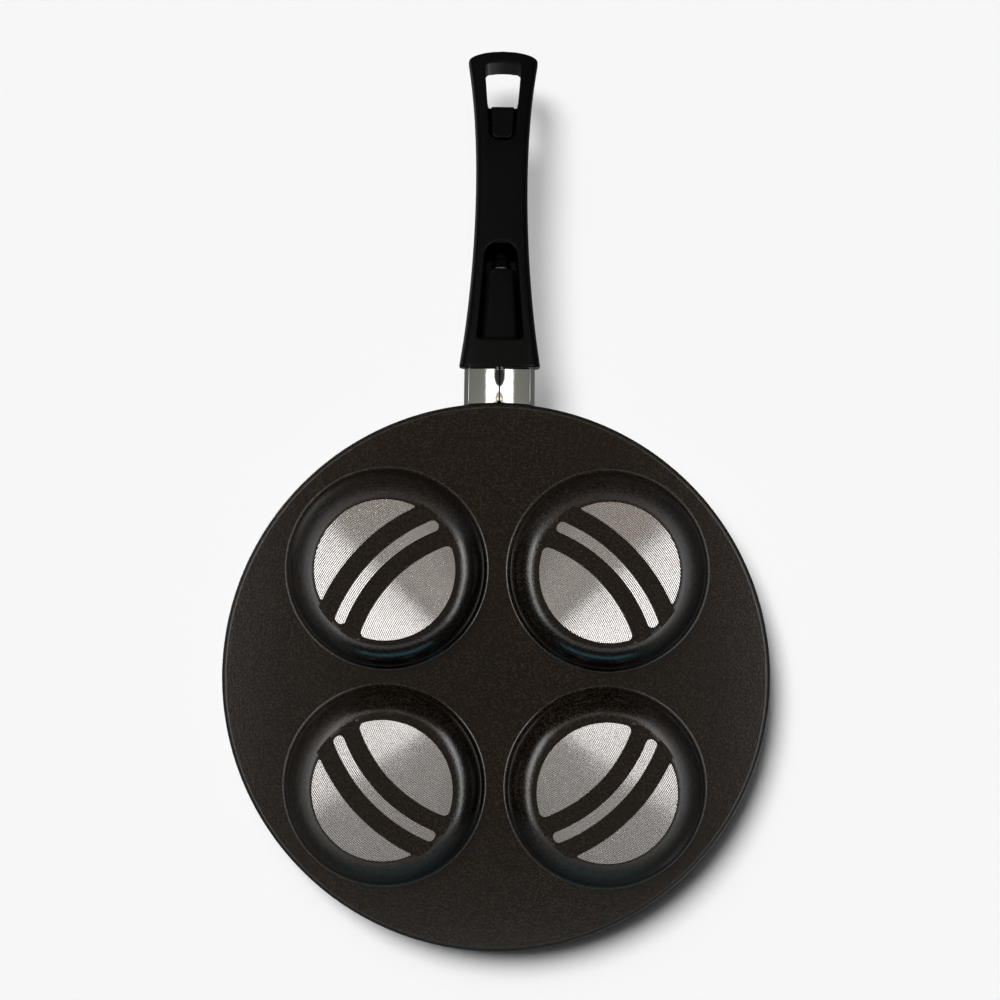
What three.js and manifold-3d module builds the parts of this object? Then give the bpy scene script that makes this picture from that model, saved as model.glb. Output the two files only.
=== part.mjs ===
// Pancake pan: a pressed aluminium pan with four round wells and a screwed-on moulded handle.
// Millimetres. +Z is up and the wells open upwards, +Y runs out along the handle and X runs across.

import * as THREE from "three";
import { mergeVertices } from "three/addons/utils/BufferGeometryUtils.js";
import Module from "manifold-3d";

const degrees = THREE.MathUtils.DEG2RAD;
const quarterTurn = Math.PI / 2;
const smoothstep = THREE.MathUtils.smoothstep;

// Pan body
const rimRadius = 130; // outside, at the rim's rounded lip
const sheet = 3; // thickness of the pressed metal
const wellDepth = 15; // from the plate's underside down to the turned faces
const rimHeight = 17; // from the plate's underside up to the top of the rim
const rimCorner = 4; // outside radius between the plate and the rim wall
const rimInnerCorner = 4; // inside radius between the plate and the rim wall
const rimDraft = 1.5 * degrees; // the rim wall leans outwards
const wellPitchAcross = 104; // between well axes, across the pan
const wellPitchAlong = 102; // between well axes, along the handle
const faceRadius = 32.6; // flat turned face under each well
const wellCorner = 13.5; // outside radius between the turned face and the well's wall
const wellDraft = 5 * degrees;
const wellFillet = 2.2; // outside radius where the well's wall meets the plate

// Ring grooves turned about the pan's axis, which cross the turned faces
const groove = { depth: 0.5, innerFrom: 66.6, innerTo: 74.9, outerFrom: 80.1, outerTo: 88.8 };

// Handle's seat on the rim
const handleRise = 9 * degrees;
const rootAbovePlate = 9; // handle axis above the plate's underside, at the rim wall
const gap = 0.3; // between touching pieces
const overrun = 2; // cutters reach this far past what they cut

// Ferrule, rolled from sheet with its seam underneath
const ferruleSheet = 0.8;
const ferruleWidth = 33.8;
const creaseWidth = 29.2; // between the two bends beside the flat underside
const ferruleBelow = 7.2; // from the handle axis down to the underside
const ferruleAbove = 6.6; // from the handle axis up to the crown
const undersideBulge = 0.8; // how far the underside bows out between its bends
const ferruleShows = 15.6; // from the rim wall to the handle's front, along the axis
const socketDepth = 3.5; // of the ferrule inside the handle
const seamWidth = 0.9;
const seamFlare = { width: 4.2, length: 3.6 }; // rounded-off sheet corners at the seam's ends

// Handle
const handleLength = 160.1;
const frontLip = 2.6; // handle beyond the ferrule, all round its front
const waist = { width: 25.2, above: 8.8, below: 8.6, fromTail: 67.3 };
const tail = { width: 34.5, above: 7.2, below: 7.4, arcRadius: 39.8, rounding: 1.6 };
const frontRounding = 1;
const bellyExponent = 4.6; // the underside is nearly flat
const crownExponent = 2.5; // the upper side is crowned

// Screw pocket in the handle's underside, with the boss that the screw runs through
const pocket = { fromFront: 14.3, length: 47.7, frontWidth: 22.2, backWidth: 14.4, frontCorner: 1.6 };
const boss = { length: 35.3, frontRadius: 8.6, backRadius: 5.8 };
const headRoom = { behind: 1.2, above: 0.65 }; // clear space around the screw's head and its washers

// Hanging hole and the hook's recess in the underside
const hangingHole = { fromTail: 5.4, length: 23.3, nearWidth: 14.7, farWidth: 18, crown: 1.6 };
const hangingCorner = { near: 1.2, far: 2.6, crown: 30 };
const recess = { beyondHole: 17.5, nearWidth: 12.4, farWidth: 14, depth: 1.2, nearCorner: 3.4, farCorner: 0.5 };

// Fastening, in line with the handle
const stud = { radius: 4, flange: 2.2, length: 13.2, bottom: 2.2 };
const spigotLength = 11; // how far the handle's spigot reaches into the ferrule
const screw = { radius: 2.5, length: 65, headRadius: 4.25, headHeight: 3.3, headEdge: 0.6 };
const crossRecess = { width: 1.1, span: 5.2, depth: 1.8 };
const flatWasher = { radius: 4.75, thickness: 1 };
const springWasher = { radius: 4.4, thickness: 1.2, slot: 0.8 };

// Fineness of the round shapes
const panSegments = 72;
const wellSegments = 40;
const grooveSegments = 108;
const cornerSteps = 3;
const wellCornerSteps = 4;
const lipSteps = 4;
const filletSteps = 2;
const smallSegments = 20;
const sectionPoints = 32;
const handleStations = 14;
const roundingSteps = 3;
const curveSegments = 4;

const wasm = await Module();
wasm.setup();

// A closed geometry as a solid that can be joined and cut.
function solidOf(geometry) {
  const bare = geometry.clone();
  bare.deleteAttribute("normal");
  bare.deleteAttribute("uv");
  const merged = mergeVertices(bare);
  const index = merged.index.array;
  const triVerts = [];
  for (let i = 0; i < index.length; i += 3) {
    const [a, b, c] = index.slice(i, i + 3);
    if (a !== b && b !== c && c !== a) triVerts.push(a, b, c);
  }
  const mesh = new wasm.Mesh({
    numProp: 3,
    vertProperties: merged.attributes.position.array,
    triVerts: new Uint32Array(triVerts),
  });
  return new wasm.Manifold(mesh);
}

function geometryOf(solid) {
  const mesh = solid.getMesh();
  const geometry = new THREE.BufferGeometry();
  geometry.setAttribute("position", new THREE.BufferAttribute(mesh.vertProperties, 3));
  geometry.setIndex(new THREE.BufferAttribute(mesh.triVerts, 1));
  geometry.computeVertexNormals();
  return geometry;
}

// Points of an arc from one angle to another, the short way that the angles give.
function arc(x, y, radius, from, to, steps) {
  return new THREE.EllipseCurve(x, y, radius, radius, from, to, to < from).getPoints(steps);
}

// A solid of revolution about Z, from a profile of (radius, height) points.
function turned(points, segments) {
  const profile = points.map(([x, y]) => new THREE.Vector2(x, y));
  return solidOf(new THREE.LatheGeometry(profile, segments).rotateX(quarterTurn));
}

// A solid of revolution about the handle's axis, from (radius, distance along the axis) points.
function turnedOnHandle(points, segments) {
  const profile = points.map(([x, y]) => new THREE.Vector2(x, y));
  return solidOf(new THREE.LatheGeometry(profile, segments));
}

// A closed ring profile for a lathe: a rectangle between two radii and two heights.
function ringProfile(innerRadius, outerRadius, low, high) {
  return [
    [innerRadius, low],
    [outerRadius, low],
    [outerRadius, high],
    [innerRadius, high],
    [innerRadius, low],
  ];
}

// A shape with straight sides and an arc at each corner, given as [x, y, radius] anticlockwise.
function roundedShape(corners) {
  const shape = new THREE.Shape();
  corners.forEach(([x, y, radius], i) => {
    const corner = new THREE.Vector2(x, y);
    const [beforeX, beforeY] = corners[(i + corners.length - 1) % corners.length];
    const [afterX, afterY] = corners[(i + 1) % corners.length];
    const back = new THREE.Vector2(beforeX, beforeY).sub(corner).normalize();
    const on = new THREE.Vector2(afterX, afterY).sub(corner).normalize();
    const halfAngle = Math.acos(THREE.MathUtils.clamp(back.dot(on), -1, 1)) / 2;
    const centre = back.clone().add(on).normalize().multiplyScalar(radius / Math.sin(halfAngle)).add(corner);
    const reach = radius / Math.tan(halfAngle);
    const start = back.multiplyScalar(reach).add(corner).sub(centre);
    const end = on.multiplyScalar(reach).add(corner).sub(centre);
    shape.absarc(centre.x, centre.y, radius, start.angle(), end.angle(), false);
  });
  return shape;
}

// A shape drawn in the handle's plan, extruded upwards between two heights.
function planPrism(shape, low, high) {
  const settings = { depth: high - low, bevelEnabled: false, curveSegments };
  return solidOf(new THREE.ExtrudeGeometry(shape, settings).translate(0, 0, low));
}

// A polygon of [along, height] points in the handle's side view, extruded across the handle.
function sidePrism(points, width) {
  const shape = new THREE.Shape(points.map(([x, y]) => new THREE.Vector2(x, y)));
  const turn = new THREE.Matrix4().makeBasis(
    new THREE.Vector3(0, 1, 0),
    new THREE.Vector3(0, 0, 1),
    new THREE.Vector3(1, 0, 0),
  );
  const geometry = new THREE.ExtrudeGeometry(shape, { depth: width, bevelEnabled: false });
  return solidOf(geometry.translate(0, 0, -width / 2).applyMatrix4(turn));
}

// A symmetric cross-section extruded along the handle's axis.
function axialPrism(shape, from, to) {
  const turn = new THREE.Matrix4().makeBasis(
    new THREE.Vector3(-1, 0, 0),
    new THREE.Vector3(0, 0, 1),
    new THREE.Vector3(0, 1, 0),
  );
  const settings = { depth: to - from, bevelEnabled: false, curveSegments: 2 * curveSegments };
  const geometry = new THREE.ExtrudeGeometry(shape, settings);
  return solidOf(geometry.translate(0, 0, from).applyMatrix4(turn));
}

// A round bar along the handle's axis, with its own radius at each end.
function axialBar(fromRadius, toRadius, from, to) {
  const bar = new THREE.CylinderGeometry(toRadius, fromRadius, to - from, smallSegments);
  return solidOf(bar.translate(0, (from + to) / 2, 0));
}

function box(width, length, height, x, y, z) {
  return solidOf(new THREE.BoxGeometry(width, length, height).translate(x, y, z));
}

// Rim section: the lip is a half round of the sheet's thickness, and both wall faces lean by the draft.
const plateTop = wellDepth + sheet;
const rimTop = wellDepth + rimHeight;
const lipRadius = sheet / 2;
const lip = { r: rimRadius - lipRadius, z: rimTop - lipRadius };

// Distance out to the point that lies a given distance from the rim's mid-wall line, at a height.
function rimOffset(fromMidWall, z) {
  return lip.r + (fromMidWall + (z - lip.z) * Math.sin(rimDraft)) / Math.cos(rimDraft);
}

// The outer skin from the axis to the lip, moved outwards by a clearance.
function outerSkin(clearance) {
  const z = wellDepth + rimCorner;
  const r = rimOffset(lipRadius - rimCorner, z);
  const bend = arc(r, z, rimCorner + clearance, -quarterTurn, -rimDraft, cornerSteps);
  return [[0, wellDepth - clearance], ...bend.map((p) => p.toArray())];
}

function plateAndRim() {
  const z = plateTop + rimInnerCorner;
  const r = rimOffset(-lipRadius - rimInnerCorner, z);
  const roundLip = arc(lip.r, lip.z, lipRadius, -rimDraft, Math.PI - rimDraft, lipSteps);
  const innerCorner = arc(r, z, rimInnerCorner, -rimDraft, -quarterTurn, cornerSteps);
  const inside = [...roundLip, ...innerCorner].map((p) => p.toArray());
  return turned([...outerSkin(0), ...inside, [0, plateTop]], panSegments);
}

// One well: the corner and the fillet share their centres inside and outside, so the sheet keeps its thickness.
// The corner's arc ends no higher than the fillet's arc begins.
const filletZ = wellDepth - wellFillet;
const corner = Math.min(wellCorner, wellDepth / (1 - Math.sin(wellDraft)) - wellFillet);
const cornerRise = (filletZ - corner) * Math.sin(wellDraft);
const ringRadius = faceRadius + (corner + wellFillet + cornerRise) / Math.cos(wellDraft);

// The well's skin from its turned face to the plate, at a depth into the sheet.
function wellSkin(into) {
  const bottom = arc(faceRadius, corner, corner - into, -quarterTurn, -wellDraft, wellCornerSteps);
  const mouth = arc(ringRadius, filletZ, wellFillet + into, Math.PI - wellDraft, quarterTurn, filletSteps);
  return [[0, into], ...bottom.map((p) => p.toArray()), ...mouth.map((p) => p.toArray())];
}

function wellAxes() {
  const across = wellPitchAcross / 2;
  const along = wellPitchAlong / 2;
  return [-1, 1].flatMap((sideX) => [-1, 1].map((sideY) => [sideX * across, sideY * along, 0]));
}

function panBody() {
  const middle = wellDepth + sheet / 2;
  const outside = turned([...wellSkin(0), [ringRadius, middle], [0, middle]], wellSegments);
  const above = plateTop + overrun;
  const inside = turned([...wellSkin(sheet), [ringRadius, above], [0, above]], wellSegments);
  let pan = plateAndRim();
  for (const place of wellAxes()) pan = pan.add(outside.translate(place));
  for (const place of wellAxes()) pan = pan.subtract(inside.translate(place));
  for (const [from, to] of [
    [groove.innerFrom, groove.innerTo],
    [groove.outerFrom, groove.outerTo],
  ])
    pan = pan.subtract(turned(ringProfile(from, to, -overrun, groove.depth), grooveSegments));
  return pan;
}

// The handle's own frame starts on the rim wall, with its Y along the handle's axis.
const rootHeight = wellDepth + rootAbovePlate;
const handleFrame = new THREE.Group();
handleFrame.name = "handle_frame";
handleFrame.position.set(0, rimOffset(lipRadius, rootHeight), rootHeight);
handleFrame.rotation.x = handleRise;
handleFrame.updateMatrix();

// The pan's outer shape with a clearance, in the handle's frame, to cut what seats on the rim wall.
function rimCutter() {
  const top = rimTop + ferruleAbove + overrun;
  const profile = [...outerSkin(gap), [rimOffset(lipRadius, top) + gap, top], [0, top]];
  const points = profile.map(([x, y]) => new THREE.Vector2(x, y));
  const skin = new THREE.LatheGeometry(points, 2 * panSegments).rotateX(quarterTurn);
  return solidOf(skin.applyMatrix4(handleFrame.matrix.clone().invert()));
}

// Places along the handle's axis
const front = ferruleShows;
const tailEnd = front + handleLength;
const waistAt = tailEnd - waist.fromTail;
const socketFloor = front + socketDepth;
const pocketFront = front + pocket.fromFront;
const pocketBack = pocketFront + pocket.length;
const bossEnd = pocketFront + boss.length;
const flatWasherAt = bossEnd + gap;
const springWasherAt = flatWasherAt + flatWasher.thickness + gap;
const screwHeadAt = springWasherAt + springWasher.thickness + gap;
const roomEnd = screwHeadAt + screw.headHeight + headRoom.behind;
const holeFar = tailEnd - hangingHole.fromTail;
const holeNear = holeFar - hangingHole.length;

// The ferrule's section, grown or shrunk: bowed underside, two bends, leaning sides and a crown.
function ferruleSection(grow) {
  const belt = ferruleWidth / 2 + grow;
  const crease = creaseWidth / 2 + grow;
  const below = ferruleBelow + grow;
  const above = ferruleAbove + grow;
  const bowRadius = (crease ** 2 + undersideBulge ** 2) / (2 * undersideBulge);
  const spread = Math.asin(crease / bowRadius);
  const shape = new THREE.Shape();
  shape.absarc(0, bowRadius - below, bowRadius, -quarterTurn - spread, -quarterTurn + spread, false);
  shape.absellipse(0, 0, belt, above, 0, Math.PI, false);
  return shape;
}

function ferrule() {
  const end = socketFloor - gap;
  const seamTop = -ferruleBelow + ferruleSheet + overrun;
  const seamBottom = -ferruleBelow - overrun;
  let sleeve = axialPrism(ferruleSection(0), -overrun, end);
  sleeve = sleeve.subtract(axialPrism(ferruleSection(-ferruleSheet), -2 * overrun, end + overrun));
  const seamHeight = seamTop - seamBottom;
  const seamMiddle = (seamTop + seamBottom) / 2;
  sleeve = sleeve.subtract(box(seamWidth, 2 * end + overrun, seamHeight, 0, end / 2, seamMiddle));
  const halfFlare = seamFlare.width / 2;
  const panEnd = new THREE.Shape([
    new THREE.Vector2(-halfFlare, 0),
    new THREE.Vector2(halfFlare, 0),
    new THREE.Vector2(0, seamFlare.length),
  ]);
  const handleEnd = new THREE.Shape([
    new THREE.Vector2(-halfFlare, front),
    new THREE.Vector2(0, front - seamFlare.length),
    new THREE.Vector2(halfFlare, front),
  ]);
  sleeve = sleeve.subtract(planPrism(panEnd, seamBottom, seamTop));
  sleeve = sleeve.subtract(planPrism(handleEnd, seamBottom, seamTop));
  return sleeve.subtract(rimCutter());
}

// Half-width of the handle: an arc from the waist to the front and another to the tail.
function handleHalfWidth(s) {
  const wide = s < waistAt ? ferruleWidth + 2 * frontLip : tail.width;
  const run = s < waistAt ? waistAt - front : waist.fromTail;
  const swell = (wide - waist.width) / 2;
  const radius = (run ** 2 + swell ** 2) / (2 * swell);
  return waist.width / 2 + radius - Math.sqrt(radius ** 2 - (s - waistAt) ** 2);
}

// Height above or below the axis, which eases from the front to the waist and on to the tail.
function handleReach(s, atFront, atWaist, atTail) {
  const toWaist = smoothstep(s, front, waistAt);
  const toTail = smoothstep(s, waistAt, tailEnd);
  return atFront + (atWaist - atFront) * toWaist + (atTail - atWaist) * toTail;
}

// One ring of the handle at a place along it, drawn in by an inset, with the tail's end bowed.
function handleRing(s, inset) {
  const wide = handleHalfWidth(s) - inset;
  const above = handleReach(s, ferruleAbove + frontLip, waist.above, tail.above) - inset;
  const below = handleReach(s, ferruleBelow + frontLip, waist.below, tail.below) - inset;
  const bow = smoothstep(s, tailEnd - tail.width, tailEnd);
  const ring = [];
  for (let i = 0; i < sectionPoints; i += 1) {
    const angle = (2 * Math.PI * i) / sectionPoints;
    const power = 2 / (Math.sin(angle) > 0 ? crownExponent : bellyExponent);
    const x = wide * Math.sign(Math.cos(angle)) * Math.abs(Math.cos(angle)) ** power;
    const height = Math.sin(angle) > 0 ? above : below;
    const z = height * Math.sign(Math.sin(angle)) * Math.abs(Math.sin(angle)) ** power;
    const back = tail.arcRadius - Math.sqrt(tail.arcRadius ** 2 - x ** 2);
    ring.push(new THREE.Vector3(x, s - back * bow, z));
  }
  return ring;
}

// A closed skin over rings of equal length, with a fan over each end.
function loft(rings) {
  const count = rings[0].length;
  const points = rings.flat();
  const lastStart = points.length - count;
  const index = [];
  for (let start = 0; start < lastStart; start += count) {
    for (let i = 0; i < count; i += 1) {
      const a = start + i;
      const b = start + ((i + 1) % count);
      index.push(a, a + count, b, b, a + count, b + count);
    }
  }
  const firstMiddle = points.length;
  const lastMiddle = firstMiddle + 1;
  for (const ring of [rings[0], rings[rings.length - 1]]) {
    points.push(ring.reduce((sum, p) => sum.addScaledVector(p, 1 / count), new THREE.Vector3()));
  }
  for (let i = 0; i < count; i += 1) {
    const next = (i + 1) % count;
    index.push(firstMiddle, i, next);
    index.push(lastMiddle, lastStart + next, lastStart + i);
  }
  const geometry = new THREE.BufferGeometry().setFromPoints(points);
  geometry.setIndex(index);
  return geometry;
}

function handleBlank() {
  const rings = [];
  for (let i = 0; i <= roundingSteps; i += 1) {
    const turn = (quarterTurn * i) / roundingSteps;
    rings.push(handleRing(front + frontRounding * (1 - Math.cos(turn)), frontRounding * (1 - Math.sin(turn))));
  }
  const from = front + frontRounding;
  const to = tailEnd - tail.rounding;
  for (let i = 1; i < handleStations; i += 1) rings.push(handleRing(from + ((to - from) * i) / handleStations, 0));
  for (let i = 0; i <= roundingSteps; i += 1) {
    const turn = (quarterTurn * i) / roundingSteps;
    rings.push(handleRing(to + tail.rounding * Math.sin(turn), tail.rounding * (1 - Math.cos(turn))));
  }
  return solidOf(loft(rings));
}

// Space under the handle that the pocket takes: level beside the boss, deep at the screw's head, then a ramp.
function pocketCutter() {
  const below = -ferruleBelow - frontLip - overrun;
  const above = flatWasher.radius + headRoom.above;
  const outline = roundedShape([
    [-pocket.frontWidth / 2, pocketFront, pocket.frontCorner],
    [pocket.frontWidth / 2, pocketFront, pocket.frontCorner],
    [pocket.backWidth / 2, pocketBack, pocket.backWidth / 2 - gap],
    [-pocket.backWidth / 2, pocketBack, pocket.backWidth / 2 - gap],
  ]);
  const side = sidePrism(
    [
      [pocketFront - overrun, below],
      [pocketBack + overrun / 2, below],
      [roomEnd, above],
      [bossEnd, above],
      [bossEnd, 0],
      [pocketFront - overrun, 0],
    ],
    pocket.frontWidth + overrun,
  );
  const room = planPrism(outline, below, above + overrun).intersect(side);
  return room.subtract(axialBar(boss.frontRadius, boss.backRadius, pocketFront, bossEnd));
}

// Level space under the handle that a hook takes, open into the hanging hole.
function recessCutter() {
  const recessNear = holeNear - recess.beyondHole;
  const outline = roundedShape([
    [-recess.nearWidth / 2, recessNear, recess.nearCorner],
    [recess.nearWidth / 2, recessNear, recess.nearCorner],
    [recess.farWidth / 2, holeNear + overrun, recess.farCorner],
    [-recess.farWidth / 2, holeNear + overrun, recess.farCorner],
  ]);
  return planPrism(outline, -waist.below - overrun, -tail.below + recess.depth);
}

function hangingHoleCutter() {
  const shoulder = holeFar - hangingHole.crown;
  const outline = roundedShape([
    [-hangingHole.nearWidth / 2, holeNear, hangingCorner.near],
    [hangingHole.nearWidth / 2, holeNear, hangingCorner.near],
    [hangingHole.farWidth / 2, shoulder, hangingCorner.far],
    [0, holeFar, hangingCorner.crown],
    [-hangingHole.farWidth / 2, shoulder, hangingCorner.far],
  ]);
  return planPrism(outline, -tail.below - overrun, tail.above + overrun);
}

function handle() {
  const clearBore = screw.radius + gap;
  const studBore = stud.radius + gap;
  const driverBore = flatWasher.radius + gap;
  const spigotTip = socketFloor - spigotLength;
  const blank = handleBlank().subtract(axialPrism(ferruleSection(gap), front - overrun, socketFloor));
  const spigot = axialPrism(ferruleSection(-ferruleSheet - gap), spigotTip, socketFloor + overrun);
  return blank
    .add(spigot)
    .subtract(axialBar(studBore, studBore, spigotTip - overrun, stud.length + gap))
    .subtract(pocketCutter())
    .subtract(axialBar(clearBore, clearBore, spigotTip, bossEnd + overrun))
    .subtract(axialBar(driverBore, driverBore, screwHeadAt, holeNear + overrun))
    .subtract(recessCutter())
    .subtract(hangingHoleCutter());
}

function handleStud() {
  const bore = screw.radius + gap;
  const flangeRadius = ferruleAbove - ferruleSheet - 2 * gap;
  const body = [
    [0, -overrun],
    [flangeRadius, -overrun],
    [flangeRadius, stud.flange],
    [stud.radius, stud.flange],
    [stud.radius, stud.length],
    [bore, stud.length],
    [bore, stud.bottom],
    [0, stud.bottom],
  ];
  return turnedOnHandle(body, smallSegments).subtract(rimCutter());
}

function plainWasher() {
  const bore = screw.radius + gap;
  const profile = ringProfile(bore, flatWasher.radius, flatWasherAt, flatWasherAt + flatWasher.thickness);
  return turnedOnHandle(profile, smallSegments);
}

function splitWasher() {
  const bore = screw.radius + gap;
  const end = springWasherAt + springWasher.thickness;
  const ring = turnedOnHandle(ringProfile(bore, springWasher.radius, springWasherAt, end), smallSegments);
  const slotMiddle = springWasherAt + springWasher.thickness / 2;
  const slotLength = springWasher.thickness + overrun;
  const slot = box(springWasher.slot, slotLength, springWasher.radius, 0, slotMiddle, -springWasher.radius / 2);
  return ring.subtract(slot);
}

function handleScrew() {
  const headEnd = screwHeadAt + screw.headHeight;
  const tip = screwHeadAt - screw.length;
  const body = turnedOnHandle(
    [
      [0, tip],
      [screw.radius - screw.headEdge, tip],
      [screw.radius, tip + screw.headEdge],
      [screw.radius, screwHeadAt],
      [screw.headRadius, screwHeadAt],
      [screw.headRadius, headEnd - screw.headEdge],
      [screw.headRadius - screw.headEdge, headEnd],
      [0, headEnd],
    ],
    smallSegments,
  );
  const recessLength = 2 * crossRecess.depth;
  const level = box(crossRecess.span, recessLength, crossRecess.width, 0, headEnd, 0);
  const upright = box(crossRecess.width, recessLength, crossRecess.span, 0, headEnd, 0);
  return body.subtract(level).subtract(upright);
}

// Finishes
function finish(color, roughness, metalness) {
  return new THREE.MeshStandardMaterial({ color, roughness, metalness });
}

function piece(name, solid, material) {
  const mesh = new THREE.Mesh(geometryOf(solid), material);
  mesh.name = name;
  return mesh;
}

handleFrame.add(
  piece("ferrule", ferrule(), finish(0xc9cac8, 0.12, 1)),
  piece("handle", handle(), finish(0x141414, 0.5, 0)),
  piece("handle_stud", handleStud(), finish(0xa9a9a6, 0.35, 1)),
  piece("handle_screw", handleScrew(), finish(0x2a2a2c, 0.4, 1)),
  piece("flat_washer", plainWasher(), finish(0xbfc0c0, 0.3, 1)),
  piece("spring_washer", splitWasher(), finish(0x3a3a3c, 0.4, 1)),
);

const pan = new THREE.Group();
pan.name = "pancake_pan";
pan.add(piece("pan_body", panBody(), finish(0x2a2522, 0.45, 0.3)), handleFrame);

// The origin lies under the middle of the whole pan, on the surface that it stands on.
const bounds = new THREE.Box3().setFromObject(pan, true);
const centre = bounds.getCenter(new THREE.Vector3());
pan.position.set(-centre.x, -centre.y, -bounds.min.z);

const root = new THREE.Group();
root.add(pan);
export default root;
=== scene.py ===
"""A pressed pancake pan with four wells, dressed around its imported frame, with its studio."""

import math

import bmesh
import bpy
import numpy as np
from bpy.props import FloatProperty, FloatVectorProperty, IntProperty, PointerProperty
from bpy.types import Operator, Panel, PropertyGroup
from mathutils import Matrix, Vector
from mathutils.geometry import delaunay_2d_cdt


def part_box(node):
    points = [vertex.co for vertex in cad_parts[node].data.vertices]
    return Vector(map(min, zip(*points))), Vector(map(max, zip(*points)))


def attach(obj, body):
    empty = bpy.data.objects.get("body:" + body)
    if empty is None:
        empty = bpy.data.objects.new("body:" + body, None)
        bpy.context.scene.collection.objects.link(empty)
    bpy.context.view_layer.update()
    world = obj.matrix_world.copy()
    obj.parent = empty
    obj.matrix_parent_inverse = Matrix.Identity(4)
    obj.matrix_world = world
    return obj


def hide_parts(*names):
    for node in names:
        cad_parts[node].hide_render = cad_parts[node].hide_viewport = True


bl_info = {
    "name": "Pancake pan",
    "version": (1, 0, 0),
    "blender": (4, 5, 0),
    "location": "View3D > Sidebar > Pan",
    "description": "Builds a pancake pan with four wells, its handle and a plain studio",
    "category": "Object",
}

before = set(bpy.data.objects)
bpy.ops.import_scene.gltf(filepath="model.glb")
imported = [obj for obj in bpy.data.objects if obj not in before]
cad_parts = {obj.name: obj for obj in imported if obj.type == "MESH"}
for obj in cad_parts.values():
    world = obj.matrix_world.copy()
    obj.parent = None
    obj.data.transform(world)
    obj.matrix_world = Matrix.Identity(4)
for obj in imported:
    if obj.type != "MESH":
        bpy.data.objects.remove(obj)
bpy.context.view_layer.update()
pan_low, pan_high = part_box("pan_body")
pan_centre = (pan_low + pan_high) / 2

MM = 0.001
QUARTER = math.pi / 2
BODY = "root"

# Clearance between pieces, and how far a cutting shape runs past what it cuts
GAP = 0.3 * MM
OVERRUN = 2 * MM

# Limits outside the handle, in its own frame
BELOW_ALL = -13 * MM
HALF_BREADTH = 13 * MM

# How far the turned face's own mesh reaches out over the shoulder
SHOULDER_REACH = 6 * MM

# Facets of the rim's bends, of its lip, of a ring groove and round the handle
CORNER_STEPS = 10
LIP_STEPS = 12
GROOVE_STEPS = 90
HANDLE_POINTS = 96

# How square the handle's crown and belly are, and how long its front's slope takes to fade
CROWN_EXPONENT = 2.5
BELLY_EXPONENT = 4.6
UPRIGHT_LENGTH = 24 * MM

# The broken edges and the thread of the fastening, and a radius that counts as none
EDGE = 0.25 * MM
THREAD_PITCH = 0.8 * MM
ON_AXIS = 1e-7

# Half the side of the paper sheets
PAPER_REACH = 6


def length(name, description, default):
    """A length in metres that a user can change."""
    return FloatProperty(name=name, description=description, default=default, unit="LENGTH", precision=5)


def angle(name, description, default):
    """An angle that a user can change, with its default in degrees."""
    return FloatProperty(name=name, description=description, default=math.radians(default), subtype="ANGLE")


def share(name, description, default):
    """A share from 0 to 1 that a user can change."""
    return FloatProperty(name=name, description=description, default=default, min=0, max=1, subtype="FACTOR")


def number(name, description, default):
    """A plain number that a user can change."""
    return FloatProperty(name=name, description=description, default=default)


def colour(name, description, default):
    """A colour that a user can change, written as its screen values from 0 to 255."""
    linear = tuple(((c / 255 + 0.055) / 1.055) ** 2.4 if c > 10 else c / 255 / 12.92 for c in default)
    settings = {"size": 3, "subtype": "COLOR", "min": 0}
    return FloatVectorProperty(name=name, description=description, default=linear, **settings)


class PanSizes(PropertyGroup):
    """The pressed body with its wells."""

    rim_radius: length("Rim radius", "Outside radius at the rim's rounded lip", (pan_high.x - pan_low.x) / 2)
    sheet: length("Sheet", "Thickness of the pressed metal", 3 * MM)
    well_depth: length("Well depth", "From the plate's underside to the turned faces", 15 * MM)
    rim_height: length("Rim height", "From the plate's underside to the top of the rim", 17 * MM)
    rim_corner: length("Rim corner", "Outside radius between plate and rim", 2.5 * MM)
    rim_inner_corner: length("Rim inner corner", "Inside radius between plate and rim", 4 * MM)
    rim_draft: angle("Rim draft", "How far the rim leans outwards", 1.5)
    pitch_across: length("Pitch across", "Between well axes, across the pan", 104 * MM)
    pitch_along: length("Pitch along", "Between well axes, along the handle", 102 * MM)
    face_radius: length("Face radius", "Radius of the flat turned face under a well", 32.6 * MM)
    well_corner: length("Well corner", "Outside radius between turned face and wall", 13.5 * MM)
    well_draft: angle("Well draft", "How far a well's wall leans outwards", 5)
    well_fillet: length("Well fillet", "Outside radius where a well meets the plate", 2.2 * MM)
    groove_depth: length("Groove depth", "Depth of the coated ring grooves", 0.2 * MM)
    groove_wall: length("Groove wall", "Plan width of a ring groove's sloped wall", 0.18 * MM)
    inner_from: length("Inner groove from", "Inner radius of the inner ring groove", 66.6 * MM)
    inner_to: length("Inner groove to", "Outer radius of the inner ring groove", 74.9 * MM)
    outer_from: length("Outer groove from", "Inner radius of the outer ring groove", 80.1 * MM)
    outer_to: length("Outer groove to", "Outer radius of the outer ring groove", 88.8 * MM)
    lens_corner: length("Lens corner", "Rounding of the inner bright land's corners", 2.6 * MM)
    bar_corner: length("Bar corner", "Rounding of the middle bright land's corners", 2.2 * MM)
    crescent_corner: length("Crescent corner", "Rounding of the outer bright land's corners", 0.5 * MM)
    line_pitch: length("Line pitch", "Between the lines that the turning tool left", 0.845 * MM)
    line_slope: angle("Line slope", "Steepest slope of those lines", 17.5)
    steps: IntProperty(name="Steps", description="Facets round each well", default=192, min=48)


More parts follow.
